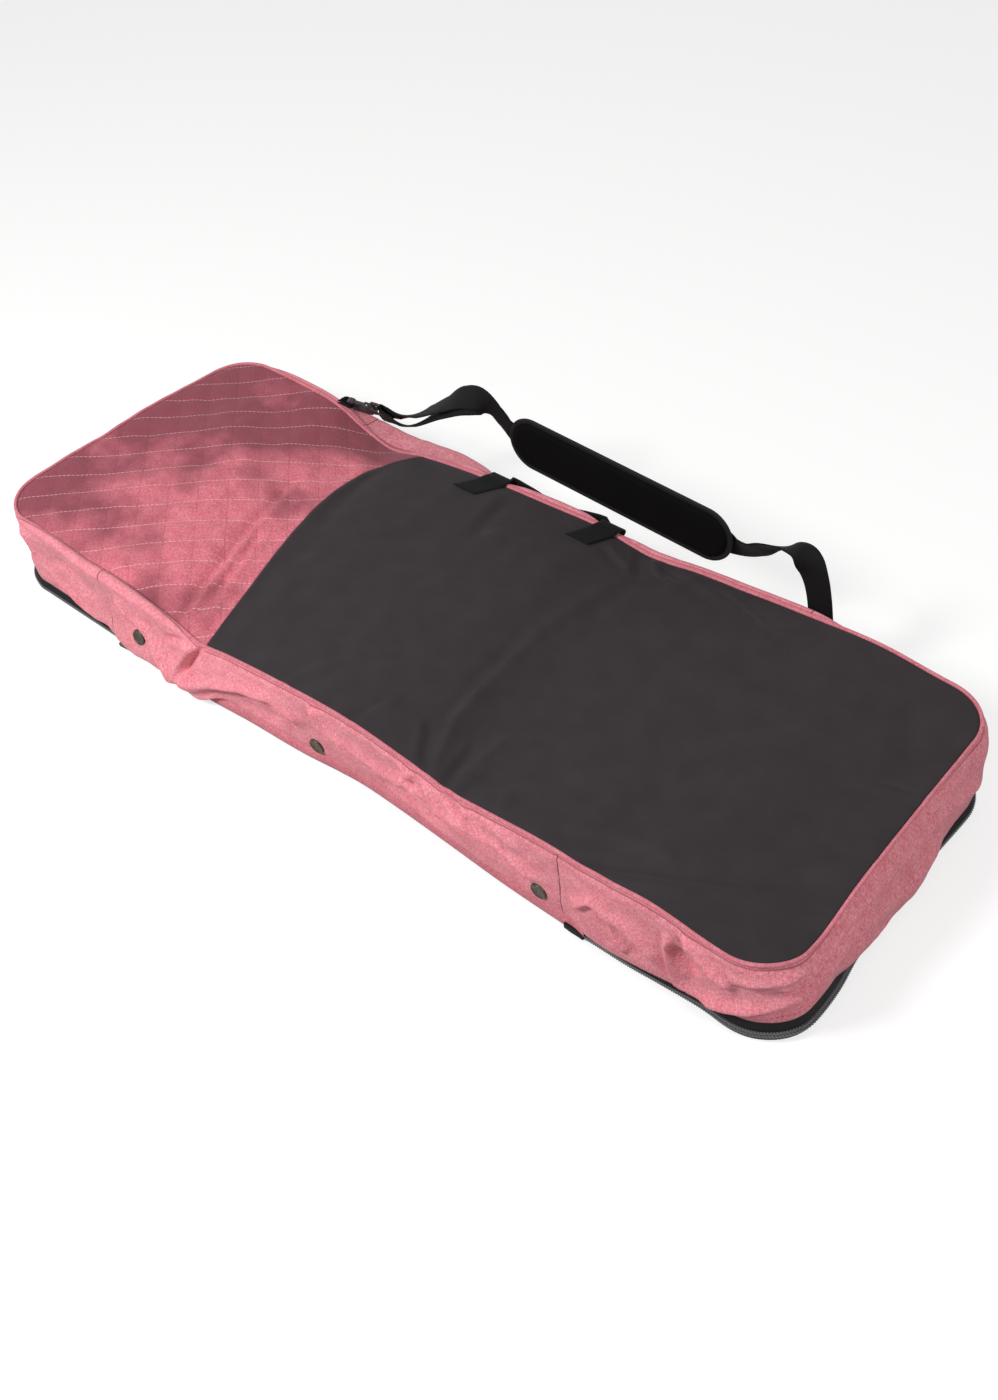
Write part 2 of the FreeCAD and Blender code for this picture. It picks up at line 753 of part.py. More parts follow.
def behind(x, out, rise):
    """A point by its distance outside the back edge of the top seam and above that seam."""
    return (x, size("bag_width") / 2 + out, size("top_height") + rise)


def hook_places():
    """Where the two hooks lie: X towards the strap, Y along the webbing bar."""
    left = local_frame(behind(-372, 10.5, 13), (0.992, 0.025, 0.124), (0.10, 0.448, -0.881))
    right = local_frame(behind(435, 19, -97), (0, 0.0755, -0.997), (1, 0, 0))
    return {"left": left, "right": right}


def build_web_frame(side, place):
    """A moulded ring for the webbing with a boss that the stud turns in."""
    reach = size("frame_reach")
    middle = (-reach / 2, 0.0)
    inner = "Sizes.webbing_width + 2 * Sizes.frame_play"
    ring = doc.addObject("PartDesign::Body", "frame_ring_" + side)
    outer_sketch = new_sketch(ring, "frame_outer_" + side)
    rounded_rectangle(
        outer_sketch,
        "Sizes.frame_reach + Sizes.bar_dia",
        f"{inner} + 2 * Sizes.bar_dia",
        "Sizes.bar_dia",
        middle,
    )
    plate = ring.newObject("PartDesign::Pad", "frame_plate_" + side)
    plate.Profile = outer_sketch
    plate.setExpression("Length", "Sizes.bar_dia")
    plate.Midplane = True
    window = new_sketch(ring, "frame_window_" + side)
    half_x, half_y = (reach - size("bar_dia")) / 2, worked(inner) / 2
    corners = [(-half_x, -half_y), (half_x, -half_y), (half_x, half_y), (-half_x, half_y)]
    closed_profile(window, [(middle[0] + x, y) for x, y in corners])
    pocket = ring.newObject("PartDesign::Pocket", "frame_hole_" + side)
    pocket.Profile = window
    pocket.setExpression("Length", "2 * Sizes.bar_dia")
    pocket.Midplane = True
    doc.recompute()
    half = size("bar_dia") / 2
    rims = [
        f"Edge{i}"
        for i, edge in enumerate(pocket.Shape.Edges, 1)
        if abs(abs(edge.CenterOfMass.z) - half) < 0.01
    ]
    chamfer = ring.newObject("PartDesign::Chamfer", "frame_edges_" + side)
    chamfer.Base = (pocket, rims)
    chamfer.setExpression("Size", "0.293 * Sizes.bar_dia")
    along_x = Rotation(Vector(0, 1, 0), 90)
    start = -reach - size("boss_length") / 2
    boss = cylinder(
        "frame_boss_" + side, "Sizes.boss_dia / 2", "Sizes.boss_length", Placement(Vector(start, 0, 0), along_x)
    )
    bore = cylinder(
        "frame_bore_" + side,
        "Sizes.stud_dia / 2 + Sizes.stud_play",
        "3 * Sizes.boss_length",
        Placement(Vector(start - size("boss_length"), 0, 0), along_x),
    )
    frame = cut("frame_" + side, fuse("frame_blank_" + side, [ring, boss]), bore)
    frame.Placement = place
    keep(frame, "web_frame_" + side)


def build_snap_hook(side, place):
    """The turned stud, the hook with its gate slot, the sprung gate, its pin and spring."""
    reach, gap = size("frame_reach"), size("clearance")
    boss_front = -reach + size("boss_length") / 2
    neck = -reach - size("boss_length") / 2 - gap
    wire, throat = size("hook_wire"), size("hook_throat")
    inner, outer = throat / 2, throat / 2 + wire
    bow, pivot = -size("bow_place"), -size("gate_pivot")
    pivot_y = -inner - 1.35
    block = pivot - 5.0
    stud = size("stud_dia") / 2

    head_low, head_high = boss_front + gap, boss_front + gap + 2.4
    turned = revolved(
        "stud_" + side,
        [(0, neck - 8), (stud, neck - 8), (stud, head_low), (5, head_low), (5, head_high - 0.8),
         (4.2, head_high), (0, head_high)],
    )
    keep(turned, "swivel_stud_" + side).Placement = place * Placement(Vector(), Rotation(Vector(0, 1, 0), 90))

    hook = doc.addObject("PartDesign::Body", "hook_" + side)
    sketch = new_sketch(hook, "hook_outline_" + side)
    tip = bow + 6.0
    closed_profile(
        sketch,
        [
            (neck, -6.0),
            (neck - 5, -6.0),
            (neck - 9, -outer + 1),
            (block, -outer + 1),
            (block, inner - 3.2),
            (block - 3.2, inner, (block - 0.9, inner - 0.9)),
            (bow, inner),
            (bow, -inner, (bow - inner, 0)),
            (tip, -inner),
            (tip + 1.0, -outer + 2.0),
            (tip - 1.0, -outer, (tip + 0.2, -outer + 0.5)),
            (bow, -outer),
            (bow, outer, (bow - outer, 0)),
            (block - 1, outer),
            (neck - 5, 6.0, (neck - 11, outer - 2.0)),
            (neck, 6.0),
        ],
    )
    pad = hook.newObject("PartDesign::Pad", "hook_plate_" + side)
    pad.Profile = sketch
    pad.setExpression("Length", "Sizes.hook_thick")
    pad.Midplane = True
    slot = new_sketch(hook, "gate_slot_outline_" + side)
    closed_profile(
        slot,
        [(block - 1, -outer - 1), (pivot + 4.6, -outer - 1), (pivot + 4.6, -inner + 4.2), (block - 1, -inner + 4.2)],
    )
    pocket = hook.newObject("PartDesign::Pocket", "gate_slot_" + side)
    pocket.Profile = slot
    pocket.setExpression("Length", "Sizes.gate_thick + 2 * Sizes.gate_play")
    pocket.Midplane = True
    pin_at = new_sketch(hook, "pin_hole_outline_" + side)
    pin_at.addGeometry(Part.Circle(Vector(pivot, pivot_y, 0), Vector(0, 0, 1), size("pin_dia") / 2))
    hole = hook.newObject("PartDesign::Pocket", "pin_hole_" + side)
    hole.Profile = pin_at
    hole.setExpression("Length", "2 * Sizes.hook_thick")
    hole.Midplane = True
    bore = new_sketch(hook, "stud_bore_outline_" + side, "XZ_Plane")
    closed_profile(bore, [(neck - 8, 0), (neck + 1, 0), (neck + 1, stud), (neck - 8, stud)])
    groove = hook.newObject("PartDesign::Groove", "stud_bore_" + side)
    groove.Profile = bore
    groove.ReferenceAxis = (bore, ["H_Axis"])
    groove.Angle = 360
    keep(hook, "snap_hook_" + side).Placement = place

    gate = doc.addObject("PartDesign::Body", "gate_" + side)
    sketch = new_sketch(gate, "gate_outline_" + side)
    eye = 3.4
    nose_top, nose_low = -inner + 1.9, -inner + 0.3
    closed_profile(
        sketch,
        [
            (tip + 1.6, -outer + 1.8),
            (tip + 0.5, nose_low),
            (tip - 2.0, nose_low),
            (tip - 2.0, nose_top - 0.6),
            (tip - 1.4, nose_top),
            (pivot, pivot_y + eye),
            (pivot, pivot_y - eye, (pivot + eye, pivot_y)),
        ],
    )
    pad = gate.newObject("PartDesign::Pad", "gate_plate_" + side)
    pad.Profile = sketch
    pad.setExpression("Length", "Sizes.gate_thick")
    pad.Midplane = True
    cuts = (("gate_bore_", size("pin_dia") / 2 + 0.1, 2 * size("gate_thick")), ("spring_seat_", 4.3, 2.6))
    for name, radius, deep in cuts:
        sketch = new_sketch(gate, name + "outline_" + side)
        sketch.addGeometry(Part.Circle(Vector(pivot, pivot_y, 0), Vector(0, 0, 1), radius))
        pocket = gate.newObject("PartDesign::Pocket", name + side)
        pocket.Profile = sketch
        pocket.Length = deep
        pocket.Midplane = True
    keep(gate, "hook_gate_" + side).Placement = place

    pin = cylinder(
        "pin_" + side,
        "Sizes.pin_dia / 2",
        "Sizes.hook_thick",
        place * Placement(Vector(pivot, pivot_y, -size("hook_thick") / 2), Rotation()),
    )
    keep(pin, "gate_pin_" + side)
    coil_in, coil_out, coil_half = size("pin_dia") / 2 + 0.2, 3.0, 1.1
    coil = revolved(
        "spring_" + side,
        [(coil_in, -coil_half), (coil_out, -coil_half), (coil_out, coil_half), (coil_in, coil_half)],
    )
    keep(coil, "gate_spring_" + side).Placement = place * Placement(Vector(pivot, pivot_y, 0), Rotation())


def build_anchor(side, place, seam):
    """A webbing loop sewn into the back seam and gathered through the hook's bow."""
    x_axis = place.Rotation.multVec(Vector(1, 0, 0))
    normal = place.Rotation.multVec(Vector(0, 0, 1))
    thick = 1.6
    bow_inner = size("hook_throat") / 2
    bow_out = size("bow_place") + bow_inner + size("hook_wire") / 2
    bow = place.multVec(Vector(-bow_out, 0, 0))
    start = Vector(*seam)
    gathered = 7.0
    recess = bow_inner - math.sqrt(bow_inner**2 - (gathered / 2) ** 2)
    side_step = normal * (size("hook_thick") / 2 + thick / 2 + 0.9)
    front = size("hook_wire") / 2 + recess + thick / 2 + 0.4
    corner = [(0, -1), (0.75, -1), (1, -0.75), (1, 0), (1, 0.75), (0.75, 1), (0, 1)]
    turn = [(bow + x_axis * (front * a) + side_step * b, x_axis * a**3 + normal * b**3) for a, b in corner]
    spread = normal * 1.6
    stations = [(start - spread, normal * -1)]
    stations += [(turn[0][0] - x_axis * 5.5, normal * -1)]
    stations += turn
    stations += [(turn[-1][0] - x_axis * 5.5, normal)]
    stations += [(start + spread, normal)]
    widths = [size("anchor_width") * 0.75, gathered + 4] + [gathered] * len(turn)
    widths += [gathered + 4, size("anchor_width") * 0.75]
    plain = [(tuple(p), tuple(f)) for p, f in stations]
    keep(feature("anchor_" + side, ribbon(plain, widths, thick, 2)), "strap_anchor_" + side)


# ---------------------------------------------------------------- strap


def strap_place():
    """The pad's middle; X along the pad, Y through it."""
    turn = Rotation(Vector(0, 1, 0), size("strap_tilt"))
    return Placement(Vector(*behind(size("strap_middle"), size("strap_out"), size("strap_rise"))), turn)


BACK_RUN = 11.2
GLIDE_PLACE = -150.0
GLIDE_STEP = 5.6


def build_pad():
    place = strap_place()
    length, width, rim = "Sizes.pad_length", "Sizes.pad_width", "Sizes.pad_rim"
    core = doc.addObject("PartDesign::Body", "pad_core")
    sketch = new_sketch(core, "pad_core_outline", "XZ_Plane")
    rounded_rectangle(sketch, f"{length} - 2 * {rim}", f"{width} - 2 * {rim}", f"0.49 * ({width} - 2 * {rim})")
    pad = core.newObject("PartDesign::Pad", "pad_core_body")
    pad.Profile = sketch
    pad.setExpression("Length", "Sizes.pad_thick")
    pad.Midplane = True
    keep(core, "shoulder_pad").Placement = place

    binding = doc.addObject("PartDesign::Body", "pad_binding_body")
    outer = new_sketch(binding, "binding_outline", "XZ_Plane")
    rounded_rectangle(outer, length, width, f"0.49 * {width}")
    pad = binding.newObject("PartDesign::Pad", "binding_plate")
    pad.Profile = outer
    pad.setExpression("Length", "Sizes.rim_thick")
    pad.Midplane = True
    window = new_sketch(binding, "binding_window", "XZ_Plane")
    clear = f"(2 * {rim} - 2 * {GAP})"
    rounded_rectangle(window, f"{length} - {clear}", f"{width} - {clear}", f"0.49 * ({width} - {clear})")
    pocket = binding.newObject("PartDesign::Pocket", "binding_hole")
    pocket.Profile = window
    pocket.setExpression("Length", "2 * Sizes.rim_thick")
    pocket.Midplane = True
    keep(binding, "pad_binding").Placement = place


def strap_point(x, y, z):
    """A point given in the strap's own frame, in the bag's."""
    return tuple(strap_place().multVec(Vector(x, y, z)))


def build_strap():
    width, thick = size("webbing_width"), size("webbing_thick")
    drop = -size("strap_drop")
    places = hook_places()
    bar_radius = size("bar_dia") / 2 + size("bar_play") + thick / 2
    run_left, run_right = -188.0, 178.0
    back = facing_at(90)
    front = facing_at(-90)

    middle = [(strap_point(x, BACK_RUN, drop), front) for x in (run_left, run_right)]
    keep(feature("back_run", ribbon(middle, width, thick, 1)), "strap_back_webbing")

    # left: down from the adjuster, round the hook's bar and back up to the pad
    glide = strap_point(GLIDE_PLACE, BACK_RUN + GLIDE_STEP, drop)
    glide_radius = size("glide_bar") / 2 + size("bar_play") + thick / 2
    along = tuple(strap_place().Rotation.multVec(Vector(-1, 0, 0)))
    lower = [
        ((-107, 44.9, 55), -90),
        ((-133, 42.5, 64.2), -75),
        ((-149, 35.5, 82), -45),
        ((-164.6, 27.5, 96.5), -35),
        ((-195, 19.5, 95), -25),
        ((-243, 18.5, 64), -12),
        ((-290, 16.5, 28), 2),
        ((-330, 12.5, 6), 32),
        ((-350, 11, 6.5), 55),
    ]
    upper = [
        ((-352, 13.5, 19), 55),
        ((-330, 15.5, 23), 32),
        ((-290, 18.5, 44), 0),
        ((-246, 21.5, 74), -12),
        ((-200, 23.5, 104), -25),
        ((-163.9, 26.5, 113.2), -35),
        ((-145.4, 31.5, 96.6), -45),
        ((-129, 34.5, 75.7), -75),
    ]
    left = places["left"]
    toward = tuple(left.Rotation.multVec(Vector(1, 0, 0)))
    normal = tuple(left.Rotation.multVec(Vector(0, 0, 1)))
    tail = strap_point(GLIDE_PLACE - 14, BACK_RUN + GLIDE_STEP - glide_radius, drop)
    stations = [(tail, tuple(-v for v in back))]
    stations += wrap(glide, along, back, glide_radius)
    stations += [(behind(*p), tuple(-v for v in facing_at(a))) for p, a in lower]
    stations += wrap(tuple(left.Base), toward, normal, bar_radius)
    stations += [(behind(*p), facing_at(a)) for p, a in upper]
    stations += [(strap_point(run_left - 8, BACK_RUN, drop), front)]
    stations += [(strap_point(run_left - size("clearance"), BACK_RUN, drop), front)]
    keep(feature("loop_webbing", ribbon(stations, width, thick, 2)), "strap_loop_webbing")

    # right: over the drop, down behind the bag and round the lower hook's bar
    fall = [
        ((293, 36, 45), -100),
        ((317.5, 35, 51.8), -112),
        ((340, 34.5, 69), -130),
        ((361, 36.5, 79), -144),
        ((380, 39.5, 83), -165),
        ((398, 40.5, 71), -205),
        ((411, 40.5, 48), -245),
        ((421, 39.5, 20), -262),
        ((428, 38.5, -10), -268),
        ((433, 39, -38), -270),
        ((434.5, 41, -62), -270),
        ((435, 39.5, -79), -258),
    ]
    right = places["right"].Base
    up = Vector(0, 0.9, 0.436)
    out = Vector(0, 0.436, -0.9)
    stations = [(strap_point(run_right + size("clearance"), BACK_RUN, drop), front)]
    stations += [(strap_point(run_right + 8, BACK_RUN, drop), front)]
    stations += [(behind(*p), facing_at(a)) for p, a in fall]
    stations += [(tuple(right + up * 12 + out * bar_radius), tuple(out))]
    stations += reversed(wrap(tuple(right), tuple(up), tuple(out), bar_radius))
    stations += [(tuple(right + up * 12 - out * bar_radius), tuple(out * -1))]
    keep(feature("end_webbing", ribbon(stations, width, thick, 2)), "strap_end_webbing")


def build_glide():
    """The three-bar adjuster behind the pad, and the keepers that hold the webbing to the pad."""
    place = strap_place()
    drop = -size("strap_drop")
    thick, gap = size("webbing_thick"), size("clearance")
    bar = size("glide_bar")
    half_long = size("glide_length") / 2
    rail_in = size("webbing_width") / 2 + 1.0
    web_front, web_back = BACK_RUN - thick / 2, BACK_RUN + thick / 2
    bar_y = (web_front - gap - 2.4, web_front - gap)
    centre_y = BACK_RUN + GLIDE_STEP
    blocks = []
    for sign in (-1, 1):
        x = sorted((sign * half_long, sign * (half_long - 4.0)))
        blocks.append(((GLIDE_PLACE + x[0], GLIDE_PLACE + x[1]), bar_y, (drop - rail_in, drop + rail_in)))
        z = sorted((drop + sign * rail_in, drop + sign * (rail_in + 3.5)))
        blocks.append(((GLIDE_PLACE - half_long, GLIDE_PLACE + half_long), (bar_y[0], centre_y + bar / 2), tuple(z)))
    solids = [
        Part.makeBox(x[1] - x[0], y[1] - y[0], z[1] - z[0], Vector(x[0], y[0], z[0])) for x, y, z in blocks
    ]
    centre = Part.makeCylinder(bar / 2, 2 * rail_in + 2, Vector(GLIDE_PLACE, centre_y, drop - rail_in - 1))
    glide = solids[0].fuse(solids[1:] + [centre]).removeSplitter()
    keep(feature("glide", glide), "tri_glide").Placement = place

    back = size("pad_thick") / 2 + gap
    keepers = []
    for x in (-30.0, 140.0):
        wide = size("keeper_width")
        reach = size("webbing_width") / 2 + 1.0
        outer = Part.makeBox(wide, web_back + gap + 1.6 - back, 2 * reach + 10, Vector(x, back, drop - reach - 5))
        inner = Part.makeBox(wide, web_back + gap - back - 1.6, 2 * reach, Vector(x, back + 1.6, drop - reach))
        keepers.append(outer.cut(inner))
    keep(feature("keepers", Part.makeCompound(keepers)), "pad_keepers").Placement = place


build_base()
build_top()
build_walls()
build_vents()
build_piping()
build_chain()
build_end_tabs()
build_hinge()
build_pull(build_slider())
build_handle()
for hook_side, hook_place in hook_places().items():
    build_web_frame(hook_side, hook_place)
    build_snap_hook(hook_side, hook_place)
build_anchor("left", hook_places()["left"], behind(-467, 6.9, -8.5))
build_anchor("right", hook_places()["right"], behind(435, 3.3, -7.5))
build_pad()
build_strap()
build_glide()

doc.recompute()
failed = [o.Name for o in doc.Objects if "Invalid" in o.State or "Error" in o.State]
broken = [p.Label for p in parts if p.Shape.isNull() or not p.Shape.isValid() or not p.Shape.Solids]
if failed or broken:
    raise RuntimeError(f"failed: {failed}; broken: {broken}")
os.makedirs("parts", exist_ok=True)
for part in parts:
    part.Shape.exportStep(f"parts/{part.Label}.step")
    print(part.Label, len(part.Shape.Solids), round(part.Shape.Volume))
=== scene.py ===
# %% [markdown]
# # A padded board bag
# The bag is a long soft box: a foam-backed top, one side wall that runs all round it, and a flat
# base. The measured model gives every rigid piece and the room that each soft one may take. Here
# the soft pieces get their folds, seams and weave, and the hard ones their rounded edges.

# %% Load the measured model
import math
from bisect import bisect_right

import bmesh
import bpy
from mathutils import Euler, Matrix, Vector, noise


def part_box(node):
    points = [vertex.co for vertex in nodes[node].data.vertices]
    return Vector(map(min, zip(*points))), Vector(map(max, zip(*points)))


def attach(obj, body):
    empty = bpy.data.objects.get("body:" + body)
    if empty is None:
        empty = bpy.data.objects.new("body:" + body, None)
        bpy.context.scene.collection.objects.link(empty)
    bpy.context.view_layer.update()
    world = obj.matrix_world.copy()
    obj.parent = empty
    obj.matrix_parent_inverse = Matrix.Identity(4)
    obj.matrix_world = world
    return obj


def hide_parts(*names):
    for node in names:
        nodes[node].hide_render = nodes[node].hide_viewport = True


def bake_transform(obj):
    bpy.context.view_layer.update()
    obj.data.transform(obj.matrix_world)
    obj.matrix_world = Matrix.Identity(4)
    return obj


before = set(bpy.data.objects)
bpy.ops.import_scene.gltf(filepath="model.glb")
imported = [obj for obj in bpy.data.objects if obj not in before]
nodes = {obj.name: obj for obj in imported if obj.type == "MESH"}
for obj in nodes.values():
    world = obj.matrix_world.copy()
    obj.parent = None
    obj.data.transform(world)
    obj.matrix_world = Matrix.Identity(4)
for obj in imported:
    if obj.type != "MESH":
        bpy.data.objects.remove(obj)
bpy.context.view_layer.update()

MM = 0.001

# %% [markdown]
# ## Colours and shader nodes
# Cloth colours are picked as screen colours, so one function turns a hex code to the linear values
# that shaders take. Another adds a node, sets it up and links what feeds it, and short ones stand
# for the nodes that come up again and again. Everything else in a material is a list of those calls.

# %% Colour and node helpers


def linear(code):
    """An sRGB hex colour as linear RGBA."""
    channels = [int(code[i : i + 2], 16) / 255 for i in (1, 3, 5)]
    return tuple(c / 12.92 if c <= 0.04045 else ((c + 0.055) / 1.055) ** 2.4 for c in channels) + (1.0,)


def add(material, kind, feeds=None, **settings):
    """One shader node; feeds gives its inputs, each a value or another node's output."""
    made = material.node_tree.nodes.new("ShaderNode" + kind)
    for key, value in settings.items():
        setattr(made, key, value)
    for socket, value in (feeds or {}).items():
        if isinstance(value, bpy.types.NodeSocket):
            material.node_tree.links.new(value, made.inputs[socket])
        else:
            made.inputs[socket].default_value = value
    return made


def feed(shader, socket, output):
    """Links a node's output to a shader's input."""
    shader.id_data.links.new(output, shader.inputs[socket])


def maths(material, operation, *values):
    """The output of one sum or comparison."""
    return add(material, "Math", dict(enumerate(values)), operation=operation).outputs[0]


def spread(material, value, low, high, least, most):
    """A value between low and high, spread from least to most."""
    feeds = {"Value": value, "From Min": low, "From Max": high, "To Min": least, "To Max": most}
    return add(material, "MapRange", feeds).outputs[0]


def mixed(material, share, one, other):
    """One colour where the share is 0, the other where it is 1."""
    feeds = {"Factor": share, "A": one, "B": other}
    return add(material, "Mix", feeds, data_type="RGBA").outputs["Result"]


def noise_over(material, place, scale, detail, roughness=0.5):
    feeds = {"Vector": place, "Scale": scale, "Detail": detail, "Roughness": roughness}
    return add(material, "TexNoise", feeds).outputs["Fac"]


def axes_of(material, place):
    return add(material, "SeparateXYZ", {"Vector": place}).outputs


def finish_named(name, roughness, colour=None, **sockets):
    """A material and its shader, with the values that are the same all over the surface."""
    material = bpy.data.materials.new(name)
    material.use_nodes = True
    shader = material.node_tree.nodes["Principled BSDF"]
    shader.inputs["Roughness"].default_value = roughness
    if colour:
        shader.inputs["Base Color"].default_value = linear(colour)
    for socket, value in sockets.items():
        shader.inputs[socket.replace("_", " ")].default_value = value
    return material, shader


# %% [markdown]
# ## Woven cloth
# The walls, the piping and the quilted end are a heather weave: pale and dark yarns mixed in both
# directions. Two noises, stretched along and across the cloth, stand for the yarns. A cloudy noise
# of about 20 mm adds the uneven dye that makes heather look mottled, and the yarns also lift the
# surface a little. Cloth hardly shines, so the specular level is low.

# %% Heather weave
YARN = 1.5 * MM
SLUB = 5.0 * MM
CLOUD = 22 * MM
MOTTLE = 0.26
DARK_AT, PALE_AT = 0.33, 0.69


def heather(name, dark, middle, pale):
    """The shader of a mottled weave, its map and its colour, which is left for more to be laid on."""
    sheen = {"Sheen_Weight": 0.12, "Sheen_Roughness": 0.5}
    material, shader = finish_named(name, 0.85, Specular_IOR_Level=0.15, **sheen)
    cloth_place = add(material, "TexCoord").outputs["UV"]
    yarns = []
    for scale in ((1 / YARN, 1 / SLUB, 1), (1 / SLUB, 1 / YARN, 1)):
        stretched = add(material, "Mapping", {"Vector": cloth_place, "Scale": scale})
        yarns.append(noise_over(material, stretched.outputs[0], 1.0, 2.0, 0.7))
    half = maths(material, "MULTIPLY", maths(material, "ADD", *yarns), 0.5)
    cloud = noise_over(material, cloth_place, 1 / CLOUD, 4.0, 0.65)
    mottle = maths(material, "MULTIPLY_ADD", cloud, MOTTLE, -MOTTLE / 2)
    ramp = add(material, "ValToRGB", {"Fac": maths(material, "ADD", half, mottle)})
    stops = ramp.color_ramp.elements
    stops[0].position, stops[0].color = DARK_AT, linear(dark)
    stops[1].position, stops[1].color = PALE_AT, linear(pale)
    stops.new(0.5).color = linear(middle)
    bump = add(material, "Bump", {"Height": half, "Distance": 0.4 * MM, "Strength": 0.4})
    feed(shader, "Normal", bump.outputs[0])
    return material, shader, cloth_place, ramp.outputs["Color"]


print("heather yarn", YARN / MM, "mm, slubs", SLUB / MM, "mm")

# %% [markdown]
# ## Rows of stitches
# A row of stitches is a line of short dashes. A ping-pong of the distance gives how far a point is
# from the nearest row, and another along the row cuts the line into stitches. The quilting uses it
# at 45 degrees both ways, and the walls at their hem.

# %% Stitch rows
QUILT = 46.0
QUILT_STITCH = 7.0


def near_row(material, distance, pitch, half_width):
    """1 within half_width of the rows that repeat each pitch, in metres; 0 elsewhere."""
    away = maths(material, "PINGPONG", distance, pitch / 2)
    return maths(material, "LESS_THAN", away, half_width)


def near_line(material, distance, at, half_width):
    """1 within half_width of one line, in metres; 0 elsewhere."""
    return maths(material, "COMPARE", distance, at, half_width)


def thread_and_shade_over(material, colour_in, mask, line_colour, strength):
    """Thread, seam or painted shade colour laid over a cloth colour where the mask is 1."""
    return mixed(material, maths(material, "MULTIPLY", mask, strength), colour_in, linear(line_colour))


# painted shade: the quilted end is the wall's heather painted a darker rose, for the top that takes less
# light
quilted_shaded_heather, shader, place, colour = heather("quilted_shaded_rose_heather", "#A8505D", "#D16F7C", "#E99AA2")

# %% [markdown]
# The quilted cloth gets soft deep rose patches, a hand's breadth across: partly an uneven dye, and partly
# painted shade that grows over its far left and back, where the top slopes away from the lamp. The patches
# also gather along its front edge, and thin out towards the seam with the black cloth.

# %% Deep rose patches and painted shade
PATCHES_PER_METRE = 7.0
quilted_axes = axes_of(quilted_shaded_heather, place)
patches = noise_over(quilted_shaded_heather, place, PATCHES_PER_METRE, 3.0)
# painted shade: the deep rose grows towards the far back and left of the top, and is darker along the front
# edge
far_back = maths(quilted_shaded_heather, "MULTIPLY_ADD", quilted_axes["Y"], -1.1, quilted_axes["X"])
shade_towards_back_left = spread(quilted_shaded_heather, far_back, -0.30, -0.72, -0.16, 0.24)
darker_towards_front = spread(quilted_shaded_heather, quilted_axes["Y"], -0.10, -0.20, 0.0, 0.20)
shade_and_front_share = maths(quilted_shaded_heather, "ADD", shade_towards_back_left, darker_towards_front)
patches_and_shade = maths(quilted_shaded_heather, "ADD", patches, shade_and_front_share)
patch_and_shade_share = spread(quilted_shaded_heather, patches_and_shade, 0.42, 0.66, 0.0, 0.85)
colour = mixed(quilted_shaded_heather, patch_and_shade_share, colour, linear("#7C3D49"))

# %% Quilting threads
turned_place = add(quilted_shaded_heather, "Mapping", {"Vector": place, "Rotation": (0, 0, math.radians(45))})
turned_axes = axes_of(quilted_shaded_heather, turned_place.outputs[0])
for row_axis, dash_axis, line_colour, strength in (("X", "Y", "#E8C4C2", 0.62), ("Y", "X", "#6A3640", 0.4)):
    row = near_row(quilted_shaded_heather, turned_axes[row_axis], QUILT * MM, 0.6 * MM)
    gap = near_row(quilted_shaded_heather, turned_axes[dash_axis], QUILT_STITCH * MM, 1.0 * MM)
    dash = maths(quilted_shaded_heather, "SUBTRACT", 1.0, gap)
    stitches = maths(quilted_shaded_heather, "MULTIPLY", row, dash)
    colour = thread_and_shade_over(quilted_shaded_heather, colour, stitches, line_colour, strength)
feed(shader, "Base Color", colour)
print("quilt rows every", QUILT, "mm")

# %% [markdown]
# The walls carry a dotted row just above the zipper, a painted shade line in the crease where the seam under
# the piping is folded, and a dark seam near each end of the long sides. Their map runs along the seam and up
# the wall in metres, so each line sits at a plain distance.

# %% Wall cloth
HEM_ROW, FOLD_ROW = 27.0, 119.5
HEM_STITCH = 6.0
WALL_SEAMS = (420.0, 1454.6, 2304.6, 3319.3)
SEAM_SLANT = 0.1

wall_heather, shader, place, colour = heather("wall_pink_heather", "#C0626F", "#DE8590", "#F2AEB5")
wall_axes = axes_of(wall_heather, place)
hem = near_line(wall_heather, wall_axes["Y"], HEM_ROW * MM, 0.7 * MM)
dot = near_row(wall_heather, wall_axes["X"], HEM_STITCH * MM, 0.9 * MM)
colour = thread_and_shade_over(wall_heather, colour, maths(wall_heather, "MULTIPLY", hem, dot), "#8C4350", 0.7)
# painted shade: a dark line along the crease where the seam under the piping is folded
painted_fold_shade = near_line(wall_heather, wall_axes["Y"], FOLD_ROW * MM, 0.9 * MM)
colour = thread_and_shade_over(wall_heather, colour, painted_fold_shade, "#8E4452", 0.6)
slanting = maths(wall_heather, "MULTIPLY_ADD", wall_axes["Y"], SEAM_SLANT, wall_axes["X"])
for at in WALL_SEAMS:
    line = near_line(wall_heather, slanting, at * MM, 0.8 * MM)
    colour = thread_and_shade_over(wall_heather, colour, line, "#4A2530", 0.85)
feed(shader, "Base Color", colour)

# painted shade: the piping's heather is the wall's cloth painted darker, for the shade along the seam; the
# hinge strip uses it too
piping_shaded_heather, shader, place, colour = heather("piping_shaded_pink_heather", "#B05664", "#CB737F", "#DE97A0")
feed(shader, "Base Color", colour)

# %% [markdown]
# ## Black cloth, webbing and lining
# The large top panel is a matt packcloth: its weave is finer than the heather's and all one dye,
# so it only shows as a faint grain. Webbing is woven with ribs across it, 2 mm apart. The lining
# is thin coated nylon, which shines a little. All these cloths read the piece's own map in metres.

# %% Plain weaves
WAVES_PER_PITCH = 0.314


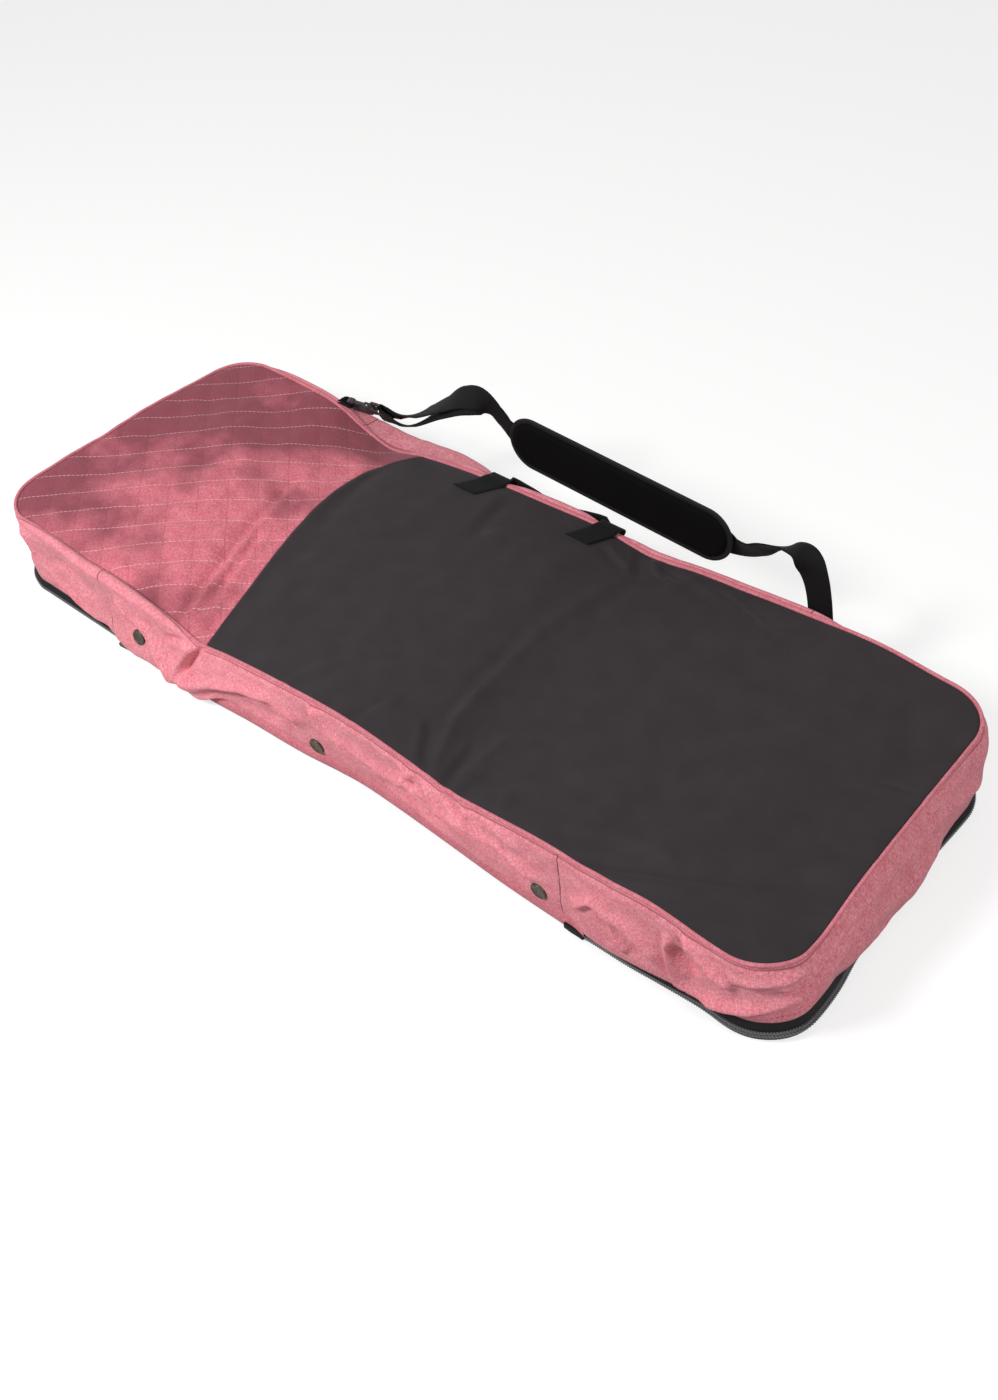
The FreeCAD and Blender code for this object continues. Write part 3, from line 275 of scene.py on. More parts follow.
def weave(name, colour, second_tone, roughness, pitch, lift, sheen, across_only=False, shine=0.18):
    """A plain cloth: crossing waves lift the yarns, and a soft noise fades the dye."""
    material, shader = finish_named(name, roughness, Sheen_Weight=sheen, Specular_IOR_Level=shine)
    cloth_place = add(material, "TexCoord").outputs["UV"]
    feeds = {"Vector": cloth_place, "Scale": WAVES_PER_PITCH / (pitch * MM), "Distortion": 0.6, "Detail": 1.0}
    ribs = [add(material, "TexWave", feeds, bands_direction=way).outputs["Fac"] for way in ("X", "Y")]
    height = ribs[0] if across_only else maths(material, "MULTIPLY", *ribs)
    bump = add(material, "Bump", {"Height": height, "Distance": lift * MM, "Strength": 0.5})
    feed(shader, "Normal", bump.outputs[0])
    dye = noise_over(material, cloth_place, 24.0, 8.0)
    feed(shader, "Base Color", mixed(material, dye, linear(colour), linear(second_tone)))
    return material


packcloth = weave("black_packcloth_woven", "#252123", "#332D30", 0.72, 2.4, 0.25, 0.04)
base_cloth = weave("black_base_nylon_woven", "#1E1C1E", "#282527", 0.7, 3.0, 0.3, 0.02)
webbing_cloth = weave(
    "black_webbing_ribbed", "#0C0B0C", "#161415", 0.74, 2.0, 0.35, 0.02, across_only=True, shine=0.12
)
tape_cloth = weave("black_zip_tape_woven", "#121112", "#1D1B1C", 0.8, 1.8, 0.2, 0.02, across_only=True)
pad_cloth = weave("black_pad_knit", "#060505", "#0D0B0C", 0.92, 1.6, 0.15, 0.0, shine=0.07)
binding_cloth = weave("black_pad_binding_woven", "#0C0B0C", "#181617", 0.7, 2.2, 0.25, 0.04, across_only=True)
lining_cloth = weave("grey_lining_nylon", "#454347", "#555357", 0.55, 2.6, 0.2, 0.03)

# %% [markdown]
# ## Moulded plastic and metal
# The hooks and the strap adjuster are moulded acetal: dark, with a satin skin that is slightly uneven. The
# zipper's teeth are black nylon, painted a lighter grey in patches as painted highlights. The vent discs and
# the slider are gunmetal-plated zinc, and the studs, pins and springs are bare steel.

# %% Hard finishes


def hard(name, colour, second_tone, roughness, grain, lift, metallic=0.0):
    """A moulded or cast skin: faint colour change and grain at a size in millimetres."""
    material, shader = finish_named(name, roughness, Metallic=metallic)
    skin_place = add(material, "TexCoord").outputs["Object"]
    skin = noise_over(material, skin_place, 1 / (grain * MM), 4.0)
    bump = add(material, "Bump", {"Height": skin, "Distance": lift * MM})
    feed(shader, "Base Color", mixed(material, skin, linear(colour), linear(second_tone)))
    feed(shader, "Normal", bump.outputs[0])
    return material


hook_plastic = hard("black_acetal_moulded", "#131314", "#232325", 0.42, 3.0, 0.05)
# painted highlight: the black nylon teeth are coloured light grey to stand for their shine
teeth_painted_highlight = hard("black_nylon_zip_teeth_painted_highlight", "#39393C", "#69696E", 0.36, 1.5, 0.03)
gunmetal = hard("gunmetal_plated_zinc", "#3A352D", "#575044", 0.42, 2.5, 0.04, metallic=0.8)
steel = hard("steel_drawn_bright", "#A9A9A6", "#C9C9C5", 0.3, 2.0, 0.02, metallic=1.0)
print("finishes:", len(bpy.data.materials))

# %% [markdown]
# ## Curves and folds
# Cloth is described by a few heights that a smooth curve runs through, and by folds: straight
# lines with a width and a height, which fade out at both ends. A fold's side falls off quickly, so
# it reads as a crease and not as a wave, and the cloth tucks in on the fold's right-hand side. A
# run of folds follows a bent line. A bulge is a soft round swelling, with its reach both ways.

# %% Curve and fold helpers
FOLD_LIMIT = 11.0
FOLD_REACH = 5.0
FADE = 0.25


def eased(t):
    """From 0 to 1, slow at both ends."""
    t = min(max(t, 0.0), 1.0)
    return t * t * (3 - 2 * t)


def curve_through(stations):
    """A smooth function through (place, value) stations, level beyond both ends."""
    xs, ys = [s[0] for s in stations], [s[1] for s in stations]
    rises = [(b - a) / (q - p) for a, b, p, q in zip(ys, ys[1:], xs, xs[1:])]
    slopes = [0.0] + [(a + b) / 2 for a, b in zip(rises, rises[1:])] + [0.0]

    def value(x):
        i = min(max(bisect_right(xs, x) - 1, 0), len(xs) - 2)
        run = xs[i + 1] - xs[i]
        t = min(max((x - xs[i]) / run, 0.0), 1.0)
        bend = slopes[i] * t * (1 - t) ** 2 - slopes[i + 1] * t * t * (1 - t)
        return ys[i] * (1 - eased(t)) + ys[i + 1] * eased(t) + run * bend

    return value


def folds_at(x, y, folds):
    """The height that folds (x0, y0, x1, y1, width, height) add at a point, up to about the limit."""
    total = 0.0
    for x0, y0, x1, y1, width, height in folds:
        dx, dy = x1 - x0, y1 - y0
        length = math.hypot(dx, dy)
        t = ((x - x0) * dx + (y - y0) * dy) / length**2
        if not -FADE < t < 1 + FADE:
            continue
        away = ((x - x0) * dy - (y - y0) * dx) / length / width
        if abs(away) > FOLD_REACH:
            continue
        ends = eased((t + FADE) / (2 * FADE)) * eased((1 + FADE - t) / (2 * FADE))
        crest = math.exp(0.4 - math.sqrt(away * away + 0.16))
        tuck = 0.4 * math.exp(-((away - 2.0) ** 2))
        total += height * ends * (crest - tuck)
    return FOLD_LIMIT * math.tanh(total / FOLD_LIMIT)


def run_of_folds(places, width, height):
    """Folds end to end along a bent line."""
    return [(*a, *b, width, height) for a, b in zip(places, places[1:])]


def hump(x, middle, reach):
    """From 1 at the middle to 0 well outside the reach."""
    return math.exp(-(((x - middle) / reach) ** 2))


def swelling(x, y, place, reach):
    """From 1 at a bulge's middle to 0 well outside its reach."""
    return math.exp(-(((x - place[0]) / reach[0]) ** 2) - ((y - place[1]) / reach[1]) ** 2)


def crumple(x, y, seed, size):
    """Soft wrinkles of about that size, between -1 and 1."""
    return noise.noise(Vector((x / size, y / size, seed)))


# %% [markdown]
# ## The seam round the top
# Every soft piece hangs on one line: the seam where the top meets the walls. It is a rectangle
# with rounded corners, measured from the middle of the front edge. A place on the bag is then a
# distance along this line and a distance out from it.

# %% The rim
piping_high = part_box("piping")[1] / MM
HALF_LENGTH, HALF_WIDTH, CORNER = piping_high.x, piping_high.y, 68.0
RUN_X, RUN_Y = HALF_LENGTH - CORNER, HALF_WIDTH - CORNER
ARC = math.pi / 2 * CORNER
RIM = 4 * (RUN_X + RUN_Y + ARC)


def rim(s, out=0.0):
    """x, y and the outward direction at s along the seam; s is x on the front edge."""
    s = (s + RUN_X) % RIM
    centres = ((-RUN_X, -RUN_Y), (RUN_X, -RUN_Y), (RUN_X, RUN_Y), (-RUN_X, RUN_Y))
    for side, run in enumerate((2 * RUN_X, 2 * RUN_Y, 2 * RUN_X, 2 * RUN_Y)):
        facing = math.radians(90 * side - 90)
        if s <= run:
            nx, ny = math.cos(facing), math.sin(facing)
            cx, cy = centres[side]
            return cx + nx * (CORNER + out) - ny * s, cy + ny * (CORNER + out) + nx * s, nx, ny
        s -= run
        if s <= ARC or side == 3:
            nx, ny = math.cos(facing + s / CORNER), math.sin(facing + s / CORNER)
            cx, cy = centres[(side + 1) % 4]
            return cx + nx * (CORNER + out), cy + ny * (CORNER + out), nx, ny
        s -= ARC


def beside(s, out, z):
    """A point that far out from the seam at s, at height z."""
    x, y = rim(s, out)[:2]
    return x, y, z


def on_back(x):
    """The distance along the seam of a place x on the back edge."""
    return RIM / 2 - x


def counted_from(s, before):
    """The same place on the rim, with the count starting that far before the front's middle."""
    return (s + before) % RIM - before


print("seam length", round(RIM), "mm")

# %% [markdown]
# ## The lie of the top
# Nothing fills the bag, so its top sags between the stiffer ends. A deep crease crosses it from a
# pinch in the front edge to a dip in the back edge, and the walls are taller at the right. The
# two long edges get their own curve, and a point between them follows both, with its place shifted
# along the slanting crease.

# %% Height of the top
FRONT_EDGE = curve_through(
    [(-709, 128), (-560, 130), (-492, 124), (-428, 126), (-353, 120), (-290, 110), (-245, 97), (-178, 108),
     (-93, 120), (65, 133), (168, 125), (233, 117), (303, 124), (379, 133), (471, 136), (539, 145),
     (627, 138), (709, 140)]
)
BACK_EDGE = curve_through(
    [(-709, 133), (-564, 133), (-475, 126), (-404, 98), (-352, 86), (-285, 102), (-180, 117), (-4, 128),
     (72, 131), (172, 121), (238, 130), (338, 141), (425, 148), (534, 155), (644, 146), (709, 145)]
)
# the top's height in the measured model
CUT_HEIGHT = 128.0
PINCH, DIP = -245.0, -352.0
CREASE_REACH, CREASE_HELD = 190.0, 0.45
CROWN = 5.0
TOP_FOLDS = [
    *run_of_folds([(-296, -240), (-323, -148), (-360, -40)], 6, -11),
    (-360, -40, -385, 60, 7, -8),
    (-284, -190, -315, -99, 6, -8),
    (-315, -99, -330, -60, 7, -7),
    (-258, -246, -275, -150, 7, 5),
    (-300, 20, -345, 200, 12, 5),
    (-480, -250, -270, -246, 10, -5),
    (149, 27, 155, -2, 12, 3),
    (155, -2, 163, -115, 9, 6),
    (163, -115, 170, -170, 8, 7),
    (170, -170, 200, -248, 7, 6),
    (150, 27, 172, 190, 11, 4),
    (146, -190, 178, -240, 6, -6),
    (237, -150, 236, -250, 7, 6),
    (212, -180, 222, -248, 5, -5),
    (262, -200, 252, -250, 6, -4),
    (300, -215, 312, -250, 7, 4),
    (60, -250, 72, -190, 7, -4),
    (-60, -252, -30, -190, 8, 3),
    *run_of_folds([(385, -225), (457, -194), (520, -188)], 9, 4),
    *run_of_folds([(440, -246), (537, -208), (600, -168)], 9, -7),
    (600, -168, 668, -110, 10, -6),
    (630, 40, 705, 70, 7, 5),
    (655, -60, 700, -30, 6, 4),
    (-75, 220, -60, 130, 10, -5),
    (-45, 145, -15, 138, 8, 4),
    (110, 235, 160, 214, 7, 5),
    (155, 246, 185, 205, 6, -6),
    (182, 248, 205, 222, 5, 6),
    (200, 240, 245, 228, 6, -6),
    (240, 246, 330, 214, 9, 4),
    (318, 245, 420, 205, 9, -5),
    (600, 225, 690, 60, 16, -4),
    (-640, -150, -520, 60, 34, -4),
    (-560, 200, -430, 60, 30, -5),
]


def top_height(x, y):
    """The top's height before its quilting."""
    t = (y + HALF_WIDTH) / (2 * HALF_WIDTH)
    crease = PINCH + (DIP - PINCH) * t
    near = hump(x, crease, CREASE_REACH)
    front = FRONT_EDGE(x - (crease - PINCH) * near)
    back = BACK_EDGE(x - (crease - DIP) * near)
    edge = front + (back - front) * eased(t)
    inside = max(0.0, 1 - (2 * t - 1) ** 4)
    held_up = CREASE_HELD * (CUT_HEIGHT - edge) * near * max(0.0, 1 - (2 * t - 1) ** 2)
    crown = CROWN * inside * max(0.0, 1 - (x / HALF_LENGTH) ** 6)
    soft = inside * (3.0 * crumple(x, y, 1.7, 120) + 1.4 * crumple(x, y, 5.1, 38))
    corner_dip = -16 * swelling(x, y, (705, -165), (60, 55))
    end_swell = 7 * inside * hump(x, -709, 45)
    slope = -9 * eased((y - 40) / 200) * inside * eased((-380 - x) / 120)
    return edge + held_up + crown + soft + corner_dip + end_swell + slope + folds_at(x, y, TOP_FOLDS)


print("top at the middle", round(top_height(0, 0), 1), "mm, at the crease", round(top_height(-300, 0), 1))

# %% [markdown]
# ## Laying cloth
# A piece of cloth starts as a grid. Each of its points gets a place on the bag, and a second place
# in the flat cut, which becomes the map that the weave follows. Solidify then gives the cloth its
# thickness. Grids that close on themselves, such as the wall, are merged where their ends meet.

# %% Cloth helpers


def merged(bm, distance):
    bmesh.ops.remove_doubles(bm, verts=bm.verts, dist=distance * MM)


def closed_up(bm):
    """Fills the open ends and turns every face outwards."""
    bmesh.ops.holes_fill(bm, edges=[e for e in bm.edges if e.is_boundary], sides=0)
    bmesh.ops.recalc_face_normals(bm, faces=bm.faces)


def rounded(bm, edges, radius):
    bmesh.ops.bevel(bm, geom=edges, offset=radius * MM, affect="EDGES", segments=2, profile=0.5, material=-1)


def mesh_of(piece):
    """A piece's mesh, opened to be changed."""
    bm = bmesh.new()
    bm.from_mesh(piece.data)
    return bm


def shown(name, bm, finish, smooth=True, sharp=None):
    """A finished mesh as an object at the origin, with its finish."""
    mesh = bpy.data.meshes.new(name)
    bm.to_mesh(mesh)
    bm.free()
    mesh.materials.append(finish)
    if smooth:
        mesh.shade_smooth()
    if sharp:
        mesh.set_sharp_from_angle(angle=math.radians(sharp))
    piece = bpy.data.objects.new(name, mesh)
    bpy.context.scene.collection.objects.link(piece)
    return piece


def thicken(piece, thick, offset):
    fold = piece.modifiers.new("cloth_thickness", "SOLIDIFY")
    fold.thickness = thick * MM
    fold.offset = offset


def cloth(name, columns, rows, lay, finish, thick=0.0, offset=-1.0, closed=False):
    """A grid laid out by lay(along, up), which gives a point and its place in the flat cut."""
    bm = bmesh.new()
    cut = bm.loops.layers.uv.new("UVMap")
    bmesh.ops.create_grid(bm, x_segments=columns, y_segments=rows, size=0.5)
    flat = {}
    for vert in bm.verts:
        point, place_in_cut = lay(vert.co.x + 0.5, vert.co.y + 0.5)
        vert.co = Vector(point) * MM
        flat[vert] = Vector(place_in_cut) * MM
    for face in bm.faces:
        for loop in face.loops:
            loop[cut].uv = flat[loop.vert]
    if closed:
        merged(bm, 0.01)
    piece = shown(name, bm, finish)
    if thick:
        thicken(piece, thick, offset)
    return piece


# %% [markdown]
# ## The top
# The top is two pieces of cloth joined along a curved seam: quilted heather at the left, plain
# packcloth over the rest. Both lie on the same foam. Quilting pulls the cloth down along rows at
# 45 degrees both ways, and the foam puffs up between them.

# %% Top panels
SEAM_CURVE = curve_through(
    [(-283, -226), (-203, -241), (-145, -257), (-76, -280), (1, -303), (55, -314), (114, -321), (178, -323),
     (219, -311), (245, -290), (283, -262)]
)


def outline_inset(y):
    """How far the rounded corners pull the ends in at y."""
    past = max(0.0, abs(y) - RUN_Y)
    return CORNER - math.sqrt(max(CORNER**2 - past**2, 0.0))


def row_place(v):
    """Rows close up towards the long edges, where the corners turn."""
    return HALF_WIDTH * (0.35 * (2 * v - 1) + 0.65 * math.sin(math.pi / 2 * (2 * v - 1)))


def rim_gap(x, y):
    """Distance in from the seam round the top."""
    dx, dy = abs(x) - RUN_X, abs(y) - RUN_Y
    if dx > 0 and dy > 0:
        return CORNER - math.hypot(dx, dy)
    return min(HALF_LENGTH - abs(x), HALF_WIDTH - abs(y))


def tucked(x, y):
    """The cloth turns down into the piping's seam."""
    return -3.0 * math.exp(-max(rim_gap(x, y), 0.0) / 4.0)


QUILT_PUFF, QUILT_CRUMPLE = 1.8, 1.4


def quilt_puff(x, y):
    """How far the foam lifts the cloth between the rows of quilting."""
    rows = [abs(math.sin(math.pi * (x + sign * y) / math.sqrt(2) / QUILT)) for sign in (1, -1)]
    rest = eased(rim_gap(x, y) / 20)
    return rest * (QUILT_PUFF * (rows[0] * rows[1]) ** 0.5 + QUILT_CRUMPLE * crumple(x, y, 9.3, 26))


def lay_quilted(u, v):
    y = row_place(v)
    left, right = -HALF_LENGTH + outline_inset(y), SEAM_CURVE(y)
    x = left + (right - left) * u
    seam = 1 - math.exp(-(right - x) / 5)
    return (x, y, top_height(x, y) + tucked(x, y) + quilt_puff(x, y) * seam), (x, y)


def lay_black(u, v):
    y = row_place(v)
    left, right = SEAM_CURVE(y), HALF_LENGTH - outline_inset(y)
    x = left + (right - left) * u
    lap = 1.2 * hump(x, left + 3, 3)
    return (x, y, top_height(x, y) + tucked(x, y) + lap), (x, y)


quilted_panel = cloth("quilted_panel", 128, 150, lay_quilted, quilted_shaded_heather, 1.2)
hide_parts("top_quilted_panel")
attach(quilted_panel, "lid")
black_panel = cloth("black_panel", 190, 110, lay_black, packcloth, 1.2)
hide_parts("top_black_panel")
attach(black_panel, "lid")


LINING_DROP = 7.5


def lay_lid_lining(u, v):
    y = row_place(1 - v) * 0.985
    reach = (HALF_LENGTH - outline_inset(y)) * 0.993
    x = reach * (2 * u - 1)
    return (x, y, top_height(x, y) - LINING_DROP), (x, y)


lid_lining = cloth("lid_lining", 90, 40, lay_lid_lining, lining_cloth, 0.8)
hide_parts("top_foam", "top_lining")
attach(lid_lining, "lid")
print("quilted panel", len(quilted_panel.data.polygons), "faces, black", len(black_panel.data.polygons))

# %% [markdown]
# ## The wall
# One strip of heather goes all the way round. Where the top has sunk, the strip is too tall for its
# place and buckles outwards: high up along the back, and low down along the front. Long ridges run
# along it, short ones fan out from the front pinch, and one ridge climbs round the right corner.

# %% Wall shape
WALL_FOOT, WALL_TOP, FLARE = 20.0, 125.0, 8.0
WALL_HEIGHT = WALL_TOP - WALL_FOOT
# the seam's height where nothing has sunk
WALL_FULL = 124.0
FOOT_OUT = curve_through(
    [(-1300, 0), (-1127, -4), (-900, -10), (-760, -14), (-700, -13), (-655, -5), (-630, 1), (-610, 1),
     (-450, 1), (-330, 1), (-285, 5), (-234, 5), (-150, -1), (-45, -6), (20, -13), (60, -16), (133, -15),
     (230, -11), (317, -7), (385, -6), (425, -6), (470, -7), (520, -8), (560, -11), (641, -14), (690, -5),
     (735, 5), (760, 7), (800, 6), (850, 0), (1000, -3), (1060, 0), (1127, 3), (1180, 2), (1250, 0),
     (1400, 0)]
)
HEM_RISE = curve_through([(460, 0), (570, 1), (640, 5), (700, 9), (760, 9), (850, 3), (960, 0)])
HEM_LAP = curve_through(
    [(-600, 0), (-500, 0.15), (-450, 0.7), (-420, 0.9), (-380, 0.9), (-340, 0), (430, 0), (452, 0.9),
     (530, 0.9), (600, 0.45), (670, 0), (800, 0), (840, 1.5), (1010, 1.6), (1060, 0)]
)
ROLL_RADIUS, ROLL_SHARE = 8.0, 0.2
ROLL_TURN = math.radians(155)
ROLL_OUT, ROLL_SINK, FRONT_ROLL_RISE = 0.62, 0.45, 0.3
LAP_OUT, LAP_DOWN = 5.5, 6.0
BACK_BUCKLE, BACK_LIFT, FRONT_BUCKLE = 0.62, 0.10, 0.15
BACK_PINCH, BACK_RIGHT = on_back(-320), on_back(320)
WALL_FOLDS = [
    *run_of_folds([(-640, 124), (-612, 70), (-564, 50), (-521, 34), (-465, 22)], 9, 8),
    *run_of_folds([(-404, 108), (-385, 88), (-349, 88), (-325, 62), (-284, 44)], 9, 10),
    *run_of_folds([(-284, 44), (-262, 84), (-245, 122)], 6, 10),
    (-262, 60, -240, 118, 5, -9),
    (-228, 92, -238, 124, 5, -7),
    *run_of_folds([(-284, 44), (-205, 62), (-140, 84), (-92, 90)], 8, 10),
    (-92, 90, -40, 66, 8, 6),
    (-300, 96, -268, 120, 5, -6),
    (-560, 96, -470, 70, 12, -4),
    (-150, 46, -80, 52, 10, -5),
    *run_of_folds([(-6, 122), (8, 84), (67, 76), (115, 70)], 8, 8),
    *run_of_folds([(115, 70), (171, 88), (211, 84), (267, 88), (316, 84), (347, 70), (384, 54)], 7, 10),
    (100, 34, 230, 60, 12, -7),
    *run_of_folds([(144, 66), (175, 122)], 5, 6),
    (160, 112, 205, 92, 5, 6),
    (150, 96, 195, 104, 4, -5),
    (196, 112, 228, 86, 5, 6),
    (228, 118, 262, 100, 5, -5),
    (262, 122, 273, 88, 5, 5),
    (300, 112, 350, 96, 7, 4),
    *run_of_folds([(436, 60), (461, 84), (486, 78), (501, 50), (515, 38)], 5, 8),
    *run_of_folds([(470, 92), (515, 70), (556, 46)], 7, 6),
    (575, 84, 606, 62, 8, -10),
    *run_of_folds([(568, 96), (574, 62), (584, 34), (607, 26), (638, 32)], 5, 9),
    *run_of_folds([(590, 116), (626, 92), (653, 78)], 5, 10),
    *run_of_folds([(632, 28), (690, 56), (745, 78), (822, 72), (885, 56)], 6, 12),
    *run_of_folds([(885, 56), (955, 44), (1040, 52)], 8, 6),
    (660, 96, 735, 112, 6, 6),
    (700, 30, 760, 42, 12, -6),
    *run_of_folds([(700, 92), (760, 106), (850, 104), (905, 98), (963, 88), (1043, 90), (1130, 66)], 6, 10),
    (800, 121, 1080, 114, 6, -6),
    (-700, 110, -760, 60, 8, 6),
    (-980, 70, -780, 84, 10, 6),
    (BACK_PINCH - 250, 60, BACK_PINCH - 70, 88, 10, 6),
    (BACK_PINCH + 60, 52, BACK_PINCH + 190, 84, 10, 6),
    (BACK_RIGHT - 210, 60, BACK_RIGHT - 60, 72, 10, 6),
    (BACK_RIGHT + 110, 60, BACK_RIGHT + 200, 96, 8, -6),
    (BACK_RIGHT + 240, 40, BACK_RIGHT + 270, 96, 8, 7),
]
# each vent's place along the seam and up the wall
VENTS = {"left": (-364.0, 51.0), "middle": (-13.0, 36.0), "right": (382.0, 42.0)}
VENT_CALM = 20.0
HOOK_X, HOOK_ROOM = 435.0, 13.0
# middle (along the seam, up the wall), reach both ways, push outwards, lift
WALL_BULGES = [
    ((-400, 33), (50, 30), 13, -6),
    ((-335, 33), (48, 30), 13, -8),
    ((-272, 33), (44, 30), 13, -9),
    ((-230, 32), (26, 24), 12, -9),
    ((BACK_PINCH, 96), (170, 30), 9, 2),
    ((BACK_PINCH - 90, 96), (80, 26), 7, 2),
    ((BACK_RIGHT, 98), (150, 26), 8, 2),
    ((880, 34), (50, 24), 6, -3),
    ((985, 34), (65, 24), 11, -4),
    ((1075, 84), (70, 40), 5, 0),
    ((1160, 92), (50, 40), 7, 0),
    ((300, 34), (70, 26), 4, -3),
    ((-705, 84), (60, 46), -11, 0),
]


def foot_out(s):
    """How far the bag's foot stands out or in from its cut, at s along the seam."""
    return FOOT_OUT(counted_from(s, RIM / 2))


def seam_stations(pairs):
    """Stations along the seam from (x on the back edge, value) pairs."""
    return sorted((on_back(x), value) for x, value in pairs)


BACK_ROLL = curve_through(
    seam_stations(
        [(510, 0), (440, 0.9), (370, 1), (250, 1), (140, 1), (105, 0.5), (80, 0.5), (45, 1), (-70, 1),
         (-108, 0.5), (-140, 0.5), (-175, 1), (-230, 0.7), (-300, 0.25), (-380, 0.3), (-430, 0.7),
         (-500, 0.9), (-600, 0.8), (-650, 0.2), (-700, 0)]
    )
)
FRONT_ROLL = curve_through([(-690, 0), (-630, 0.7), (-570, 1), (-300, 1), (-262, 0.5), (-235, 0)])


def rolled_over(share):
    """Where the wall's top lies as it puffs up and over the seam: out and height from the seam."""
    turn = ROLL_TURN * share
    return ROLL_RADIUS * (ROLL_OUT + math.cos(turn)), ROLL_RADIUS * (math.sin(turn) - ROLL_SINK)


def wall_point(s, h):
    """A point on the wall, with h from 0 at its hem to 1 at the piping."""
    x, y, nx, ny = rim(s)
    front_roll = FRONT_ROLL(counted_from(s, RIM / 2))
    roll = max(BACK_ROLL(s % RIM), front_roll)
    straight = 1 - ROLL_SHARE * roll
    s = counted_from(s, RIM / 4)
    seam, whole = top_height(x, y) - 1.5, h
    top, foot = seam, WALL_FOOT + HEM_RISE(s)
    if roll > 0:
        top = seam + roll * ROLL_RADIUS * (FRONT_ROLL_RISE * front_roll - ROLL_SINK)
        h = min(h / straight, 1.0)
    up = WALL_FOOT + WALL_HEIGHT * h
    z = foot + (top - foot) * h
    out = FLARE * (1 - h) + foot_out(s) * (1 - h) ** (1.5 if ny > -0.5 else 1.15)
    sewn = eased(9 * h) * eased(8 * (1 - h))
    lap = max(HEM_LAP(s), 0.0)
    out += lap * LAP_OUT * (1 - h) ** 3
    z -= lap * LAP_DOWN * (1 - h) ** 3
    spare = math.sqrt(max(0.0, WALL_FULL - seam) * WALL_HEIGHT)
    if ny > 0.5:
        high = math.sin(math.pi * h**2.6)
        out += (BACK_BUCKLE - 0.2 * eased((0.8 - h) / 0.3)) * spare * high
        z += BACK_LIFT * spare * high
    else:
        out += FRONT_BUCKLE * spare * math.sin(math.pi * h)
    for middle, reach, push, lift in WALL_BULGES:
        share = swelling(s, up, middle, reach) * sewn
        out += push * share
        z += lift * share
    if ny > 0.5:
        hook_side = hump(x, HOOK_X, 46) * (1 - eased((h - 0.8) / 0.2))
        out -= HOOK_ROOM * hook_side * sewn
    calm = 1.0
    for vent_s, vent_up in VENTS.values():
        calm -= math.exp(-(((s - vent_s) ** 2 + (up - vent_up) ** 2) / VENT_CALM**2) ** 2)
    out += sewn * (2.5 + 2.0 * crumple(s, 2 * up, 3.3, 90))
    out += sewn * calm * (1.7 * crumple(s, 2 * up, 7.9, 34) + 0.6 * crumple(s, 2 * up, 2.9, 15))
    out += 1.3 * folds_at(s, up, WALL_FOLDS) * sewn * calm
    if roll > 0:
        out += roll * ROLL_RADIUS * (1 + ROLL_OUT) * h**3
        if whole > straight:
            over, above = rolled_over((whole - straight) / (ROLL_SHARE * roll))
            out = roll * over
            z = seam + roll * (above + FRONT_ROLL_RISE * ROLL_RADIUS * front_roll)
    else:
        out -= 1.2 * hump(up, FOLD_ROW, 2.2)
    for line in WALL_SEAMS:
        out -= 1.6 * hump(s % RIM + SEAM_SLANT * up, line, 2.5) * sewn
    return x + nx * out, y + ny * out, z


def lay_wall(u, v):
    s = RIM * u
    return wall_point(s, v), (s, WALL_FOOT + WALL_HEIGHT * v)


wall = cloth("heather_wall", 1150, 40, lay_wall, wall_heather, 1.2, closed=True)
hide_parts("gusset_front", "gusset_back", "gusset_left", "gusset_right")
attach(wall, "lid")


LINING_INSET, WALL_LINING_DROP = 17.0, 11.0


def lay_wall_lining(u, v):
    s = RIM * (1 - u)
    x, y = rim(s)[:2]
    out = (FLARE + foot_out(s)) * (1 - v) - LINING_INSET
    z = WALL_FOOT + (top_height(x, y) - WALL_LINING_DROP - WALL_FOOT) * v
    return beside(s, out, z), (s, WALL_FOOT + WALL_HEIGHT * v)


wall_lining = cloth("wall_lining", 380, 10, lay_wall_lining, lining_cloth, 0.8, closed=True)
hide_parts("gusset_lining")
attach(wall_lining, "lid")
print("wall", len(wall.data.polygons), "faces")

# %% [markdown]
# ## Piping
# The piping is a cord in a sleeve of the same heather, caught in the seam; its heather is painted darker than
# the wall's, as painted shade. Its section is a circle that follows the rim at the top's height.

# %% Piping
PIPE_RADIUS, PIPE_DROP, PIPE_INSET = 2.7, 0.4, 1.0


def lay_piping(u, v):
    s = RIM * u
    around = 2 * math.pi * v
    x, y = rim(s)[:2]
    out = PIPE_RADIUS * math.cos(around) - PIPE_INSET
    z = top_height(x, y) - PIPE_DROP + PIPE_RADIUS * math.sin(around)
    return beside(s, out, z), (s, PIPE_RADIUS * around)


piping = cloth("heather_piping", 940, 10, lay_piping, piping_shaded_heather, closed=True)
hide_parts("piping")
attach(piping, "lid")

# %% [markdown]
# ## Base
# The base is a flat nylon panel with a quilted pad inside it. The panel starts as a ring of points
# on the rim, filled and pulled up to its thickness, with its edge rounded over. The pad is a grid
# with its border pulled down and closed underneath.

# %% Base panel and pad
HINGE_LEFT, HINGE_RIGHT = -370.0, 452.0
BASE_THICK, BASE_ROUNDING = 2.0, 0.7
BASE_OUT, BASE_OUT_AT_HINGE = 9.5, 8.0


def turns_down(edge):
    """True for a level edge where the panel's face meets its side."""
    level = abs(edge.verts[0].co.z - edge.verts[1].co.z) < 1e-6
    return level and len(edge.link_faces) == 2 and edge.calc_face_angle(0) > 1.2


